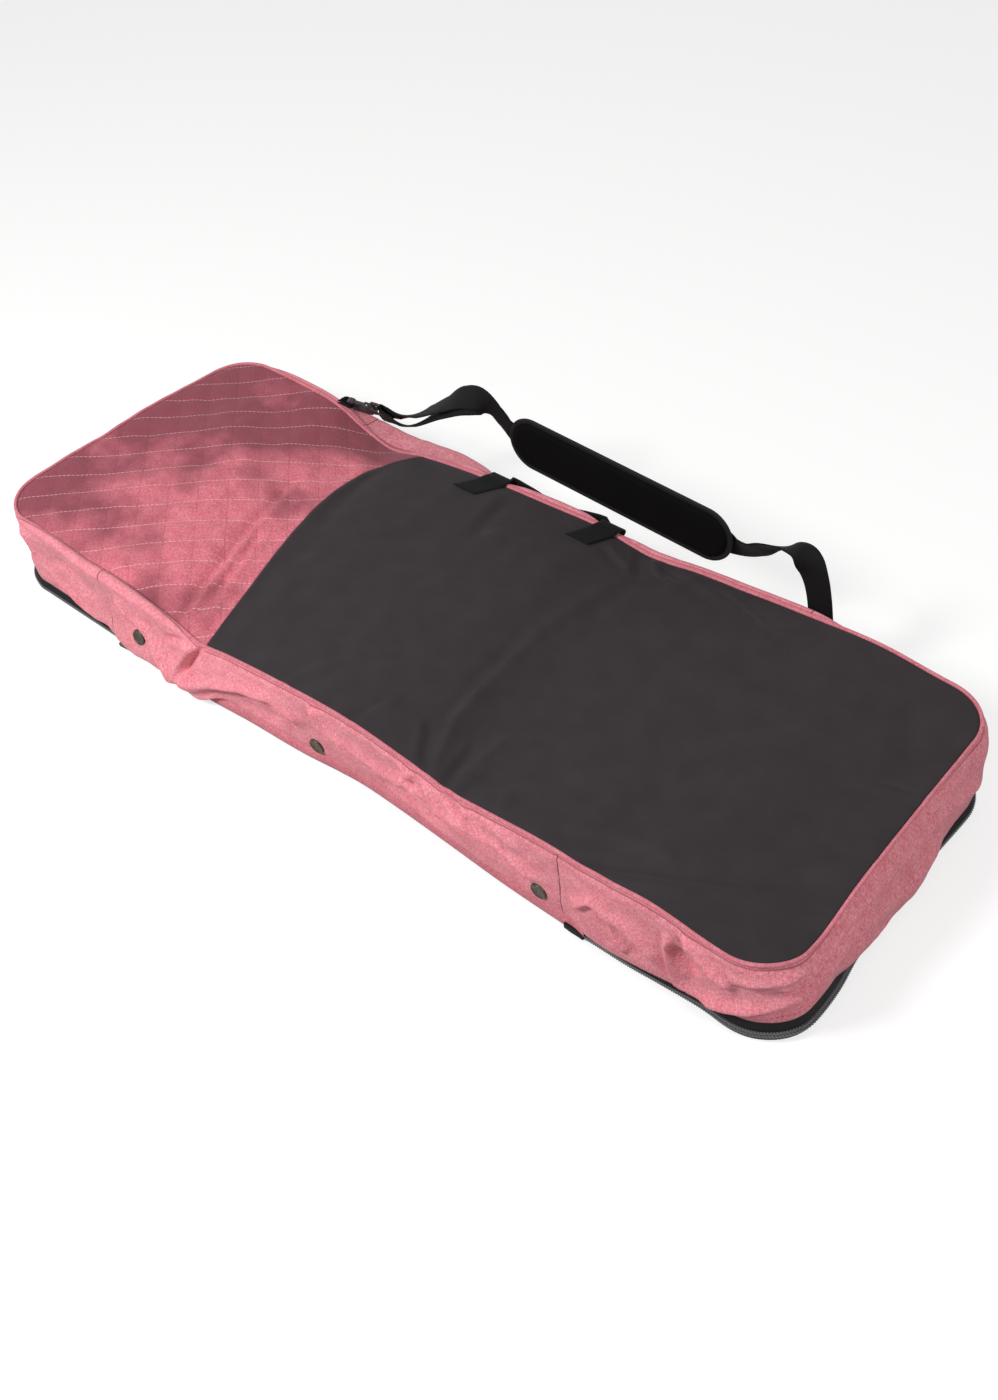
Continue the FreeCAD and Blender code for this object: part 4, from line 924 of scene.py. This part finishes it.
bm = bmesh.new()
bmesh.ops.create_circle(bm, cap_ends=True, segments=420, radius=1.0)
ring = sorted(bm.verts, key=lambda v: math.atan2(v.co.y, v.co.x))
for i, vert in enumerate(ring):
    s = RIM * i / len(ring)
    hinged = HINGE_LEFT < counted_from(s, RIM / 4) < HINGE_RIGHT
    x, y = rim(s, (BASE_OUT_AT_HINGE if hinged else BASE_OUT) + foot_out(s))[:2]
    vert.co = Vector((x, y, 0)) * MM
bmesh.ops.recalc_face_normals(bm, faces=bm.faces)
raised = bmesh.ops.extrude_face_region(bm, geom=bm.faces[:])
raised_verts = [g for g in raised["geom"] if isinstance(g, bmesh.types.BMVert)]
bmesh.ops.translate(bm, verts=raised_verts, vec=(0, 0, BASE_THICK * MM))
rounded(bm, [e for e in bm.edges if turns_down(e)], BASE_ROUNDING)
bmesh.ops.recalc_face_normals(bm, faces=bm.faces)
cut = bm.loops.layers.uv.new("UVMap")
for face in bm.faces:
    for loop in face.loops:
        loop[cut].uv = loop.vert.co.xy
base_panel = shown("nylon_base", bm, base_cloth, sharp=40)
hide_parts("base_panel")
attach(base_panel, "root")


PAD_UNDERSIDE = 2.4


def lay_base_pad(u, v):
    y = row_place(v) * 0.925
    x = (HALF_LENGTH - outline_inset(y)) * 0.975 * (2 * u - 1)
    edge = eased(rim_gap(x, y) / 22)
    return (x, y, 5.2 + 3.6 * edge + 0.55 * edge * quilt_puff(x, y)), (x, y)


base_pad = cloth("base_pad", 150, 70, lay_base_pad, lining_cloth)
bm = mesh_of(base_pad)
border = bmesh.ops.extrude_edge_only(bm, edges=[e for e in bm.edges if e.is_boundary])
for vert in border["geom"]:
    if isinstance(vert, bmesh.types.BMVert):
        vert.co.z = PAD_UNDERSIDE * MM
closed_up(bm)
bm.to_mesh(base_pad.data)
bm.free()
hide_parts("base_foam", "base_lining")
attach(base_pad, "root")

# %% [markdown]
# ## The cloth hinge
# Along most of the front the lid isn't zipped: the wall's cloth goes straight down to the base and bends
# there when the lid opens. It is its own strip, fixed in place and held by neither body.

# %% Hinge strip
HINGE_LOW = 1.4


def lay_hinge(u, v):
    s = HINGE_LEFT + (HINGE_RIGHT - HINGE_LEFT) * u
    x, y, nx, ny = rim(s)
    top_x, top_y, top_z = wall_point(s, 0.02)
    out_low = 9.4 + foot_out(s)
    out_top = (top_x - x) * nx + (top_y - y) * ny
    out = out_low + (out_top - out_low) * v + 2.2 * math.sin(math.pi * v) * (1 + crumple(s, 0, 2.2, 40))
    return beside(s, out, HINGE_LOW + (top_z - HINGE_LOW) * v), (s, HINGE_LOW + 19 * v)


# the hinge takes the piping's darker heather, painted shade under the wall
hinge = cloth("hinge_cloth", 200, 8, lay_hinge, piping_shaded_heather, 1.2)
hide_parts("hinge_strip")
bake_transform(hinge)

# %% [markdown]
# ## Zipper
# A coil zipper runs from the right part of the front round both ends and along the back to the
# left part of the front. Each half is a woven tape with a row of teeth on its edge. The teeth are
# too many to model one by one, so a grid with four columns to a tooth steps out and in.

# %% Zipper tapes and teeth
CHAIN_START = 452.5
UPPER_END, LOWER_END = RIM - 378.6, RIM - 396.9
TOOTH = 3.2
BAND_MAP = 20.0
CHAIN_LEAN = curve_through([(560, 0), (640, 1), (900, 1), (1000, 0)])


def lay_band(start, end, section):
    """A strip from start to end along the rim; section(s, v) gives out and height."""

    def lay(u, v):
        s = start + (end - start) * u
        out, z = section(s, v)
        return beside(s, out + foot_out(s), z), (s, BAND_MAP * v)

    return lay


def upper_tape(s, v):
    lean = CHAIN_LEAN(s) * (1 - v)
    out = 12.9 - 5.6 * v + 0.6 * math.sin(math.pi * v) - 1.6 * lean
    return out, 11.0 + (9.6 + HEM_RISE(s)) * v + 0.3 * crumple(s, 0, 1.1, 60) + 2.6 * lean


def lower_tape(s, v):
    lean = CHAIN_LEAN(s)
    return 9.3 + 3.4 * v + (3.6 - 0.8 * v) * lean, 2.2 + 2.8 * v + 3.4 * v * lean


lay_upper = lay_band(CHAIN_START, UPPER_END, upper_tape)
tape_up = cloth("zip_tape_top", 620, 5, lay_upper, tape_cloth, 1.2)
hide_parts("zip_tape_upper")
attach(tape_up, "lid")
lay_lower = lay_band(CHAIN_START, LOWER_END, lower_tape)
tape_low = cloth("zip_tape_base", 560, 4, lay_lower, tape_cloth, 1.0)
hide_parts("zip_tape_lower")
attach(tape_low, "root")


def teeth_row(low, high, phase, lean_out, lean_up):
    """A rounded bar along the chain whose face steps out at every tooth."""

    def section(s, v):
        around = 2 * math.pi * v
        beat = 0.5 + 0.5 * math.copysign(1, math.sin(2 * math.pi * (s / TOOTH + phase)))
        lean = CHAIN_LEAN(s)
        out = 12.0 + (1.7 + 0.9 * beat) * math.cos(around) + lean_out * lean
        z = (low + high) / 2 + ((high - low) / 2 - 0.6 * (1 - beat)) * math.sin(around) + lean_up * lean
        return out, z

    return section


for name, body, node, low, high, phase, end, lean_out, lean_up in (
    ("zip_teeth_top", "lid", "zip_coil_upper", 8.1, 11.0, 0.0, UPPER_END, 0.2, 2.6),
    ("zip_teeth_base", "root", "zip_coil_lower", 5.0, 7.9, 0.5, LOWER_END, 2.4, 3.4),
):
    columns = int((end - CHAIN_START) / TOOTH) * 4
    teeth = teeth_row(low, high, phase, lean_out, lean_up)
    row = cloth(name, columns, 6, lay_band(CHAIN_START, end, teeth), teeth_painted_highlight)
    bm = mesh_of(row)
    merged(bm, 0.01)
    closed_up(bm)
    bm.to_mesh(row.data)
    bm.free()
    row.data.shade_flat()
    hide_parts(node)
    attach(row, body)
    print(name, columns // 4, "teeth")

# %% [markdown]
# ## Zipper ends
# The chain ends under a tab of folded black cloth at each side of the hinge. A box from the
# measured piece is rounded along all its edges and subdivided, so it looks stuffed and not cut.

# %% End tabs
TAB_ROUNDING = 1.6

for side in ("left", "right"):
    low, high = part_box("zip_end_tab_" + side)
    low.y += 2.5 * MM
    for end in (low, high):
        end.y -= foot_out((low.x + high.x) / 2 / MM) * MM
    bm = bmesh.new()
    bm.loops.layers.uv.new("UVMap")
    box = Matrix.Translation((low + high) / 2) @ Matrix.Diagonal((*(high - low), 1))
    bmesh.ops.create_cube(bm, size=1.0, matrix=box, calc_uvs=True)
    rounded(bm, bm.edges[:], TAB_ROUNDING)
    long_edges = [e for e in bm.edges if e.calc_length() > 6 * MM]
    bmesh.ops.subdivide_edges(bm, edges=long_edges, cuts=4, use_grid_fill=True)
    for vert in bm.verts:
        vert.co.y += 0.9 * MM * crumple(vert.co.x / MM, vert.co.z / MM, 4.0, 8)
    tab = shown("zip_end_cloth_" + side, bm, tape_cloth)
    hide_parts("zip_end_tab_" + side)
    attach(tab, "lid")

# %% [markdown]
# ## Rounded hard pieces
# The measured model of a moulded or cast piece is exact but sharp. A copy of its mesh is merged,
# its flat faces are joined, and a Bevel rounds the edges, as a mould or a tumbling drum would.

# %% Hard pieces


def softened(node, body, rounding, finish, slot):
    """A measured piece with its edges rounded, in place of the sharp one."""
    bm = mesh_of(nodes[node])
    merged(bm, 0.005)
    bmesh.ops.dissolve_limit(bm, angle_limit=math.radians(2), verts=bm.verts, edges=bm.edges)
    piece = shown("rounded_" + node, bm, finish, sharp=35)
    edge = piece.modifiers.new("rounded_edges", "BEVEL")
    edge.width = rounding * MM
    edge.segments = 2
    edge.limit_method = "ANGLE"
    edge.angle_limit = math.radians(35)
    edge.use_clamp_overlap = True
    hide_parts(node)
    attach(piece, body)


HARD_PIECES = [
    ("zip_slider", "slider", 0.5, gunmetal, "bronze"),
    ("zip_pull", "pull", 0.4, gunmetal, "bronze"),
    ("pull_tab", "pull", 0.7, hook_plastic, "black_plastic"),
    ("tri_glide", "adjuster", 0.8, hook_plastic, "black_plastic"),
]
for side in ("left", "right"):
    HARD_PIECES += [
        ("web_frame_" + side, "lid", 0.7, hook_plastic, "black_plastic"),
        ("snap_hook_" + side, "hook_" + side, 1.4, hook_plastic, "black_plastic"),
        ("hook_gate_" + side, "gate_" + side, 0.7, hook_plastic, "black_plastic"),
        ("swivel_stud_" + side, "hook_" + side, 0.3, steel, "steel"),
        ("gate_pin_" + side, "hook_" + side, 0.3, steel, "steel"),
        ("gate_spring_" + side, "hook_" + side, 0.2, steel, "steel"),
    ]
for hard_piece in HARD_PIECES:
    softened(*hard_piece)

# %% [markdown]
# ## Vent discs
# Three eyelet discs let the bag dry. Each is a turned piece: a profile from the middle out, over a
# raised rim and down to the cloth, is spun round its axis and set on the wall's own slope.

# %% Vent discs
VENT_PROFILE = [(0, 1.0), (3.0, 1.0), (3.3, 0.6), (4.2, 0.6), (4.5, 1.1), (8.6, 1.3), (9.3, 1.5), (9.9, 2.3),
                (10.8, 2.6), (11.8, 2.2), (12.5, 1.2), (12.5, -0.6)]
WASHER_PROFILE = [(8.3, -5.4), (12.0, -5.4), (12.3, -4.9), (12.0, -4.4), (8.3, -4.4)]
DISC_LIFT = 0.4


def turned(name, profile, place, finish):
    """A profile of (radius, height) points spun round its axis."""
    bm = bmesh.new()
    verts = [bm.verts.new((r * MM, 0, z * MM)) for r, z in profile]
    for a, b in zip(verts, verts[1:]):
        bm.edges.new((a, b))
    section = bm.verts[:] + bm.edges[:]
    bmesh.ops.spin(
        bm, geom=section, cent=(0, 0, 0), axis=(0, 0, 1), angle=2 * math.pi, steps=40, use_merge=True
    )
    merged(bm, 0.005)
    closed_up(bm)
    bmesh.ops.transform(bm, matrix=place, verts=bm.verts)
    return shown(name, bm, finish, sharp=40)


for side, (x, rise) in VENTS.items():
    up_wall = (rise - WALL_FOOT) / WALL_HEIGHT
    here = Vector(wall_point(x, up_wall)) * MM
    right = Vector(wall_point(x + 14, up_wall)) - Vector(wall_point(x - 14, up_wall))
    up = Vector(wall_point(x, up_wall + 0.12)) - Vector(wall_point(x, up_wall - 0.12))
    normal = right.cross(up).normalized()
    side_on = right.normalized()
    turn = Matrix((side_on, normal.cross(side_on), normal)).transposed().to_4x4()
    disc_place = Matrix.Translation(here + normal * DISC_LIFT * MM) @ turn
    disc = turned("vent_disc_" + side, VENT_PROFILE, disc_place, gunmetal)
    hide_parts("vent_" + side)
    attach(disc, "lid")
    washer = turned("vent_ring_" + side, WASHER_PROFILE, Matrix.Translation(here) @ turn, gunmetal)
    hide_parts("vent_washer_" + side)
    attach(washer, "lid")

# %% [markdown]
# ## Webbing
# Straps are laid as ribbons: a smooth curve through a few places, each with the way that the webbing faces
# there. The ribbon's width goes square to both.

# %% Ribbon helpers
WEBBING = 38.0


def facing(degrees):
    """A direction square to X, turned from up towards the back."""
    return Vector((0, math.sin(math.radians(degrees)), math.cos(math.radians(degrees))))


def curve_points(stations, steps):
    """Points, directions and facings on a smooth curve through (place, facing) stations."""
    places = [Vector(p) for p, _ in stations]
    facings = [Vector(f).normalized() for _, f in stations]
    runs = [(q - p).length for p, q in zip(places, places[1:])]
    slopes = [(q - p) / run for p, q, run in zip(places, places[1:], runs)]
    tangents = [slopes[0]]
    for i in range(1, len(runs)):
        share = runs[i - 1] / (runs[i - 1] + runs[i])
        tangents.append(slopes[i - 1].lerp(slopes[i], share))
    tangents.append(slopes[-1])
    points = []
    for i, run in enumerate(runs):
        p, q = places[i], places[i + 1]
        leave, arrive = tangents[i] * run, tangents[i + 1] * run
        for k in range(steps + (i == len(runs) - 1)):
            t = k / steps
            point = (
                p * (2 * t**3 - 3 * t**2 + 1)
                + leave * (t**3 - 2 * t**2 + t)
                + q * (3 * t**2 - 2 * t**3)
                + arrive * (t**3 - t**2)
            )
            along = (
                (q - p) * (6 * t - 6 * t**2)
                + leave * (3 * t**2 - 4 * t + 1)
                + arrive * (3 * t**2 - 2 * t)
            )
            points.append((point, along.normalized(), facings[i].lerp(facings[i + 1], t)))
    return points


def ribbon(name, stations, steps, width=WEBBING, thick=1.8, body=None, hides=(), square=0):
    """Webbing through stations; square is how many runs at each end have their width square to Y."""
    curve = curve_points(stations, steps)
    widths = width if isinstance(width, list) else [width] * len(stations)
    travelled = [0.0]
    for (a, _, _), (b, _, _) in zip(curve, curve[1:]):
        travelled.append(travelled[-1] + (b - a).length)
    last = len(curve) - 1

    def lay(u, v):
        i = round(u * last)
        point, along, face = curve[i]
        across = face.cross(along).normalized()
        k = min(i // steps, len(widths) - 2)
        wide = widths[k] + (widths[k + 1] - widths[k]) * (i / steps - k)
        if min(i, last - i) < square * steps:
            across = Vector((math.copysign(1, across.x), 0, across.z)) / max(abs(across.x), 0.6)
        return point + across * (wide * (v - 0.5)), (travelled[i], wide * v)

    piece = cloth(name, last, 8, lay, webbing_cloth, thick, offset=0.0)
    if hides:
        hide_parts(*hides)
    if body:
        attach(piece, body)
    return piece


# %% [markdown]
# ## Carry handle
# One length of webbing is sewn flat to the top, folds over the piping, hangs behind the back edge
# and comes back to a second sewn end. The whole length is one piece that bends at the fold line,
# where the loop turns up to be carried.

# %% Handle
HANDLE_LEFT, HANDLE_RIGHT = -121.0, 92.0
FOLD_Y, FOLD_Z = HALF_WIDTH + 4.5, 131.8
TAB_REACH = 50.0


def handle_lift(x):
    """How far the back edge here stands above its cut height."""
    return BACK_EDGE(x) - CUT_HEIGHT


def tab_stations(x, lean):
    """A sewn end: flat on the top, then up to the fold line; lean shifts it along the bag."""
    flat = []
    for share in (1.0, 0.75, 0.5, 0.3):
        px, py = x + lean * share, HALF_WIDTH - TAB_REACH * share
        flat.append(((px, py, top_height(px, py) + 2.2), facing(0)))
    rise = handle_lift(x)
    over = [(-6.5, 0.3, 0.12), (-2.0, 1.2, 0.03), (2.0, 0.8, 0.0)]
    return flat + [((x + lean * s, HALF_WIDTH + dy, FOLD_Z + dz + rise), facing(0)) for dy, dz, s in over]


# share of the way across, out, up, and the way that the webbing faces
HANG = [(0.0, 6.0, -0.5, 20), (0.0, 10.5, -4.5, 50), (0.01, 13.0, -11.0, 78), (0.05, 14.2, -17.0, 88),
        (0.13, 14.5, -20.5, 90), (0.29, 13.5, -24.5, 90), (0.45, 12.5, -32.0, 90), (0.60, 12.5, -29.0, 90),
        (0.75, 13.5, -23.0, 90), (0.87, 14.5, -19.0, 90), (0.95, 14.2, -16.0, 88), (0.99, 13.0, -11.0, 78),
        (1.0, 10.5, -4.5, 50), (1.0, 6.0, -0.5, 20)]
loop = []
for share, dy, dz, turn in HANG:
    x = HANDLE_LEFT + share * (HANDLE_RIGHT - HANDLE_LEFT)
    rise = handle_lift(HANDLE_LEFT) * (1 - share) + handle_lift(HANDLE_RIGHT) * share
    loop.append(((x, FOLD_Y + dy, FOLD_Z + dz + rise), facing(turn)))
handle_stations = tab_stations(HANDLE_LEFT, -27) + loop + tab_stations(HANDLE_RIGHT, -20)[::-1]
HANDLE_PARTS = ("carry_handle", "handle_tab_left", "handle_tab_right")
handle = ribbon("carry_handle_webbing", handle_stations, steps=4, square=5, hides=HANDLE_PARTS)
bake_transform(handle)

# %% [markdown]
# ## Shoulder strap
# The strap starts as a loop at the left: it leaves the adjuster, goes round the hook's bar and comes back to
# the pad. From the pad's other end a single length drops behind the bag to the right hook. Both ends are
# fixed in place and held by neither the lid, which holds the hooks, nor the strap's own body; the run between
# them goes with the strap.

# %% Strap webbing
STRAP_MIDDLE = Vector((87.0, HALF_WIDTH + 25.5, 192.0))
STRAP_TILT = Euler((0, math.radians(3), 0)).to_matrix()
DROP, BACK_RUN, GLIDE_X, GLIDE_STEP = -9.3, 11.2, -150.0, 5.6
PLAY, HALF_WEBBING = 0.7, 1.0
BAR_WRAP = 2.5 + PLAY + HALF_WEBBING
GLIDE_WRAP = 1.6 + PLAY + HALF_WEBBING
RUN_ENDS = (-188.0, 178.0)


def strap_point(x, y, z):
    """A point in the strap's own axes, with X along it."""
    return STRAP_MIDDLE + STRAP_TILT @ Vector((x, y, z))


def behind(x, out, rise):
    """A point by its distance outside the back edge and above the top's cut height."""
    return Vector((x, HALF_WIDTH + out, CUT_HEIGHT + rise))


def wrap(centre, away, face, radius):
    """Stations half way round a bar."""
    stations = []
    for degrees in range(-90, 91, 30):
        s, c = math.sin(math.radians(degrees)), math.cos(math.radians(degrees))
        outward = face * s - away * c
        stations.append((centre + outward * radius, outward))
    return stations


left_bar = behind(-372, 10.5, 13)
left_x = Vector((0.992, 0.025, 0.124)).normalized()
left_z = left_x.cross(Vector((0.10, 0.448, -0.881))).normalized()
right_bar = behind(HOOK_X, 19, -97)
FRONTWARD, BACKWARD = facing(-90), facing(90)
LOWER = [((-107, 44.9, 55), -90), ((-133, 38.5, 74), -110), ((-149, 34, 94), -104),
         ((-164.6, 27.5, 104), -80), ((-195, 19.5, 97), -40), ((-243, 18.5, 64), -12),
         ((-290, 16.5, 28), 2), ((-330, 12.5, 6), 32), ((-350, 11, 6.5), 55)]
UPPER = [((-352, 13.5, 19), 55), ((-330, 15.5, 23), 32), ((-290, 18.5, 44), 0), ((-246, 21.5, 74), -12),
         ((-200, 23.5, 104), -40), ((-163.9, 26, 109), -80), ((-145.4, 31, 96.5), -104),
         ((-129, 35, 78), -110)]
FALL = [((293, 36, 45), -110), ((317.5, 35, 53), -128), ((340, 34.5, 69), -138), ((361, 36.5, 79), -150),
        ((380, 39.5, 82), -176), ((398, 40.5, 70), -215), ((411, 40.5, 48), -245), ((421, 39.5, 20), -262),
        ((428, 38.5, -10), -268), ((433, 39, -38), -270), ((434.5, 41, -62), -270), ((435, 39.5, -79), -258)]
glide = strap_point(GLIDE_X, BACK_RUN + GLIDE_STEP, DROP)
loop_stations = [(strap_point(GLIDE_X - 14, BACK_RUN + GLIDE_STEP - GLIDE_WRAP, DROP), FRONTWARD)]
loop_stations += wrap(glide, STRAP_TILT @ Vector((-1, 0, 0)), BACKWARD, GLIDE_WRAP)
loop_stations += [(behind(*p), -facing(a)) for p, a in LOWER]
loop_stations += wrap(left_bar, left_x, left_z, BAR_WRAP)
loop_stations += [(behind(*p), facing(a)) for p, a in UPPER]
loop_stations += [(strap_point(RUN_ENDS[0] - 8, BACK_RUN, DROP), FRONTWARD)]
loop_stations += [(strap_point(RUN_ENDS[0] + 2, BACK_RUN, DROP), FRONTWARD)]
strap_loop = ribbon("strap_loop", loop_stations, steps=6, hides=("strap_loop_webbing",))
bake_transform(strap_loop)
run_stations = [(strap_point(x, BACK_RUN, DROP), FRONTWARD) for x in (RUN_ENDS[0], 0, RUN_ENDS[1])]
ribbon("strap_run", run_stations, steps=8, body="strap", hides=("strap_back_webbing",))
up, out = Vector((0, 0.9, 0.436)), Vector((0, 0.436, -0.9))
fall_stations = [(strap_point(RUN_ENDS[1] - 2, BACK_RUN, DROP), FRONTWARD)]
fall_stations += [(strap_point(RUN_ENDS[1] + 8, BACK_RUN, DROP), FRONTWARD)]
fall_stations += [(behind(*p), facing(a)) for p, a in FALL]
fall_stations += [(right_bar + up * 12 + out * BAR_WRAP, out)]
fall_stations += wrap(right_bar, up, out, BAR_WRAP)[::-1]
fall_stations += [(right_bar + up * 12 - out * BAR_WRAP, -out)]
strap_fall = ribbon("strap_fall", fall_stations, steps=6, hides=("strap_end_webbing",))
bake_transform(strap_fall)

# %% [markdown]
# Each hook clips into a loop of webbing sewn into the seam. The loop is 26 mm wide at the seam and
# gathers to the width of the hook's wire where it goes through.

# %% Anchor loops
BAR_TO_LOOP = 79.5
LOOP_TURN, LOOP_STEP, LOOP_GAP = 5.5, 6.2, 1.6
ROUND_THE_WIRE = [(0, -1), (0.75, -1), (1, -0.75), (1, 0), (1, 0.75), (0.75, 1), (0, 1)]
LOOP_WIDTHS = [26.0, 13.0] + [8.0] * len(ROUND_THE_WIRE) + [13.0, 26.0]
right_x = Vector((0, 0.0755, -0.997)).normalized()
right_z = right_x.cross(Vector((1, 0, 0))).normalized()

for side, bar_at, along, across, seam in (
    ("left", left_bar, left_x, left_z, behind(-467, 6.9, -8.5)),
    ("right", right_bar, right_x, right_z, behind(HOOK_X, 3.3, -7.5)),
):
    bow = bar_at - along * BAR_TO_LOOP
    turn = []
    for a, b in ROUND_THE_WIRE:
        place = bow + along * (LOOP_TURN * a) + across * (LOOP_STEP * b)
        turn.append((place, along * a**3 + across * b**3))
    stations = [(seam - across * LOOP_GAP, -across), (turn[0][0] - along * LOOP_TURN, -across)] + turn
    stations += [(turn[-1][0] - along * LOOP_TURN, across), (seam + across * LOOP_GAP, across)]
    measured = ("strap_anchor_" + side,)
    ribbon("anchor_loop_" + side, stations, steps=4, width=LOOP_WIDTHS, thick=1.5, body="lid", hides=measured)

# %% [markdown]
# ## Shoulder pad
# The pad is a stadium of foam in knitted cloth, with a bound edge. A grid is squeezed to that
# outline, and its depth comes from the distance to the edge: a thin rim, then a step up where the
# foam starts, then a soft crown. Front and back are the same grid, facing opposite ways.

# %% Pad
PAD_LENGTH, PAD_WIDTH, PAD_RIM, PAD_DEPTH, RIM_DEPTH = 402.0, 89.0, 8.0, 12.0, 5.0
PAD_SLIP = 3.0


def pad_edge_distance(x, z):
    """How far a point of the pad is inside its edge."""
    reach = max(abs(x) - (PAD_LENGTH - PAD_WIDTH) / 2, 0.0)
    return PAD_WIDTH / 2 - math.hypot(reach, z)


def pad_half_depth(d):
    """Half the pad's depth at that distance inside its edge."""
    round_edge = math.sqrt(max(0.0, 1 - max(0.0, 1 - d / 2.5) ** 2))
    bound = RIM_DEPTH / 2 * round_edge * (1 - 0.35 * hump(d, PAD_RIM, 1.8))
    foam = (PAD_DEPTH - RIM_DEPTH) / 2 * eased((d - PAD_RIM) / 7) + 1.6 * eased((d - PAD_RIM) / 34)
    return bound + foam


def lay_pad(side):
    def lay(u, v):
        x = PAD_LENGTH / 2 * math.sin(math.pi / 2 * (2 * u - 1)) * 0.5 + PAD_LENGTH / 2 * (2 * u - 1) * 0.5
        end = max(abs(x) - (PAD_LENGTH - PAD_WIDTH) / 2, 0.0)
        half = math.sqrt(max((PAD_WIDTH / 2) ** 2 - end**2, 0.0))
        w = 2 * v - 1
        z = half * (0.5 * w + 0.5 * math.sin(math.pi / 2 * w))
        d = pad_edge_distance(x, z)
        depth = pad_half_depth(d)
        if d > PAD_RIM:
            depth += 0.35 * crumple(x, z, 6.0, 30)
        y = -side * min(depth, PAD_DEPTH / 2 + (1.4 if side > 0 else 0.0))
        return strap_point(x * side, y, z - PAD_SLIP), (x, z)

    return lay


bm = bmesh.new()
for side in (1, -1):
    half = cloth("pad_half", 150, 48, lay_pad(side), pad_cloth)
    bm.from_mesh(half.data)
    bpy.data.objects.remove(half)
merged(bm, 0.02)
bmesh.ops.recalc_face_normals(bm, faces=bm.faces)
pad = shown("shoulder_pad_foam", bm, pad_cloth)
pad.data.materials.append(binding_cloth)
for face in pad.data.polygons:
    local = STRAP_TILT.inverted() @ (face.center / MM - STRAP_MIDDLE)
    if pad_edge_distance(local.x, local.z + PAD_SLIP) < PAD_RIM - 1:
        face.material_index = 1
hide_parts("shoulder_pad", "pad_binding")
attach(pad, "strap")

# %% [markdown]
# Two short loops of webbing behind the pad keep the strap against it.

# %% Keepers
KEEPER_WIDTH, KEEPER_THICK = 20.0, 1.4
bm = bmesh.new()
for x in (-20.0, 150.0):
    reach = WEBBING / 2 + 2
    half = [(6.9, reach + 9), (6.9, reach + 3.5), (9.6, reach + 1), (13.2, reach - 3)]
    section = half + [(13.4, 0)] + [(y, -z) for y, z in half[::-1]]
    stations = [(strap_point(x, y, DROP + z), BACKWARD) for y, z in section]
    one = ribbon("keeper", stations, steps=3, width=KEEPER_WIDTH, thick=KEEPER_THICK)
    bm.from_mesh(one.data)
    bpy.data.objects.remove(one)
keepers = shown("pad_keeper_loops", bm, webbing_cloth)
thicken(keepers, KEEPER_THICK, 0.0)
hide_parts("pad_keepers")
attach(keepers, "strap")

# %% [markdown]
# ## Floor, light and camera
# The bag lies on a plain pale floor under two soft lamps and a pale sky: the key lamp stands at the
# front and a weaker one at the right. The floor shows white to the camera and keeps the bag's
# shadow. The camera looks down on the front right corner.

# %% Stage
bm = bmesh.new()
bmesh.ops.create_grid(bm, x_segments=1, y_segments=1, size=12)
floor_paint, shader = finish_named("white_floor_paint", 0.9, "#A8A8A7", Specular_IOR_Level=0.1)


def seen_directly(material):
    """1 for rays that show the surroundings to the camera, straight, mirrored or through glass."""
    path = add(material, "LightPath")
    total = path.outputs["Is Camera Ray"]
    for kind in ("Is Glossy Ray", "Is Transmission Ray"):
        total = maths(material, "MAXIMUM", total, path.outputs[kind])
    return total


FLOOR_GLOW = 0.66
shader.inputs["Emission Color"].default_value = (1, 1, 1, 1)
feed(shader, "Emission Strength", maths(floor_paint, "MULTIPLY", seen_directly(floor_paint), FLOOR_GLOW))
floor = shown("floor", bm, floor_paint, smooth=False)
floor.location = (0, 0, -0.0005)

SKY = 0.34
world = bpy.data.worlds.new("pale_sky")
bpy.context.scene.world = world
world.use_nodes = True
sky = world.node_tree.nodes["Background"]
sky.inputs["Color"].default_value = (1, 1, 1, 1)
feed(sky, "Strength", maths(world, "MULTIPLY_ADD", seen_directly(world), 1 - SKY, SKY))

for name, place_at, power, size in (
    ("key_softbox", (-0.8, -1.9, 2.2), 68, 0.7),
    ("side_softbox", (2.1, -0.3, 2.1), 20, 0.7),
):
    lamp = bpy.data.lights.new(name, "AREA")
    lamp.energy, lamp.size = power, size
    holder = bpy.data.objects.new(name, lamp)
    holder.location = place_at
    holder.rotation_euler = (-Vector(place_at)).to_track_quat("-Z", "Y").to_euler()
    bpy.context.scene.collection.objects.link(holder)

lens = bpy.data.cameras.new("lens")
lens.lens, lens.sensor_width = 35.72, 36.0
camera = bpy.data.objects.new("camera", lens)
camera.location = (1.0571, -1.0267, 1.4254)
camera.rotation_euler = Euler([math.radians(a) for a in (44.225, 2.860, 40.362)])
bpy.context.scene.collection.objects.link(camera)
bpy.context.scene.camera = camera
bpy.context.scene.view_settings.view_transform = "Standard"
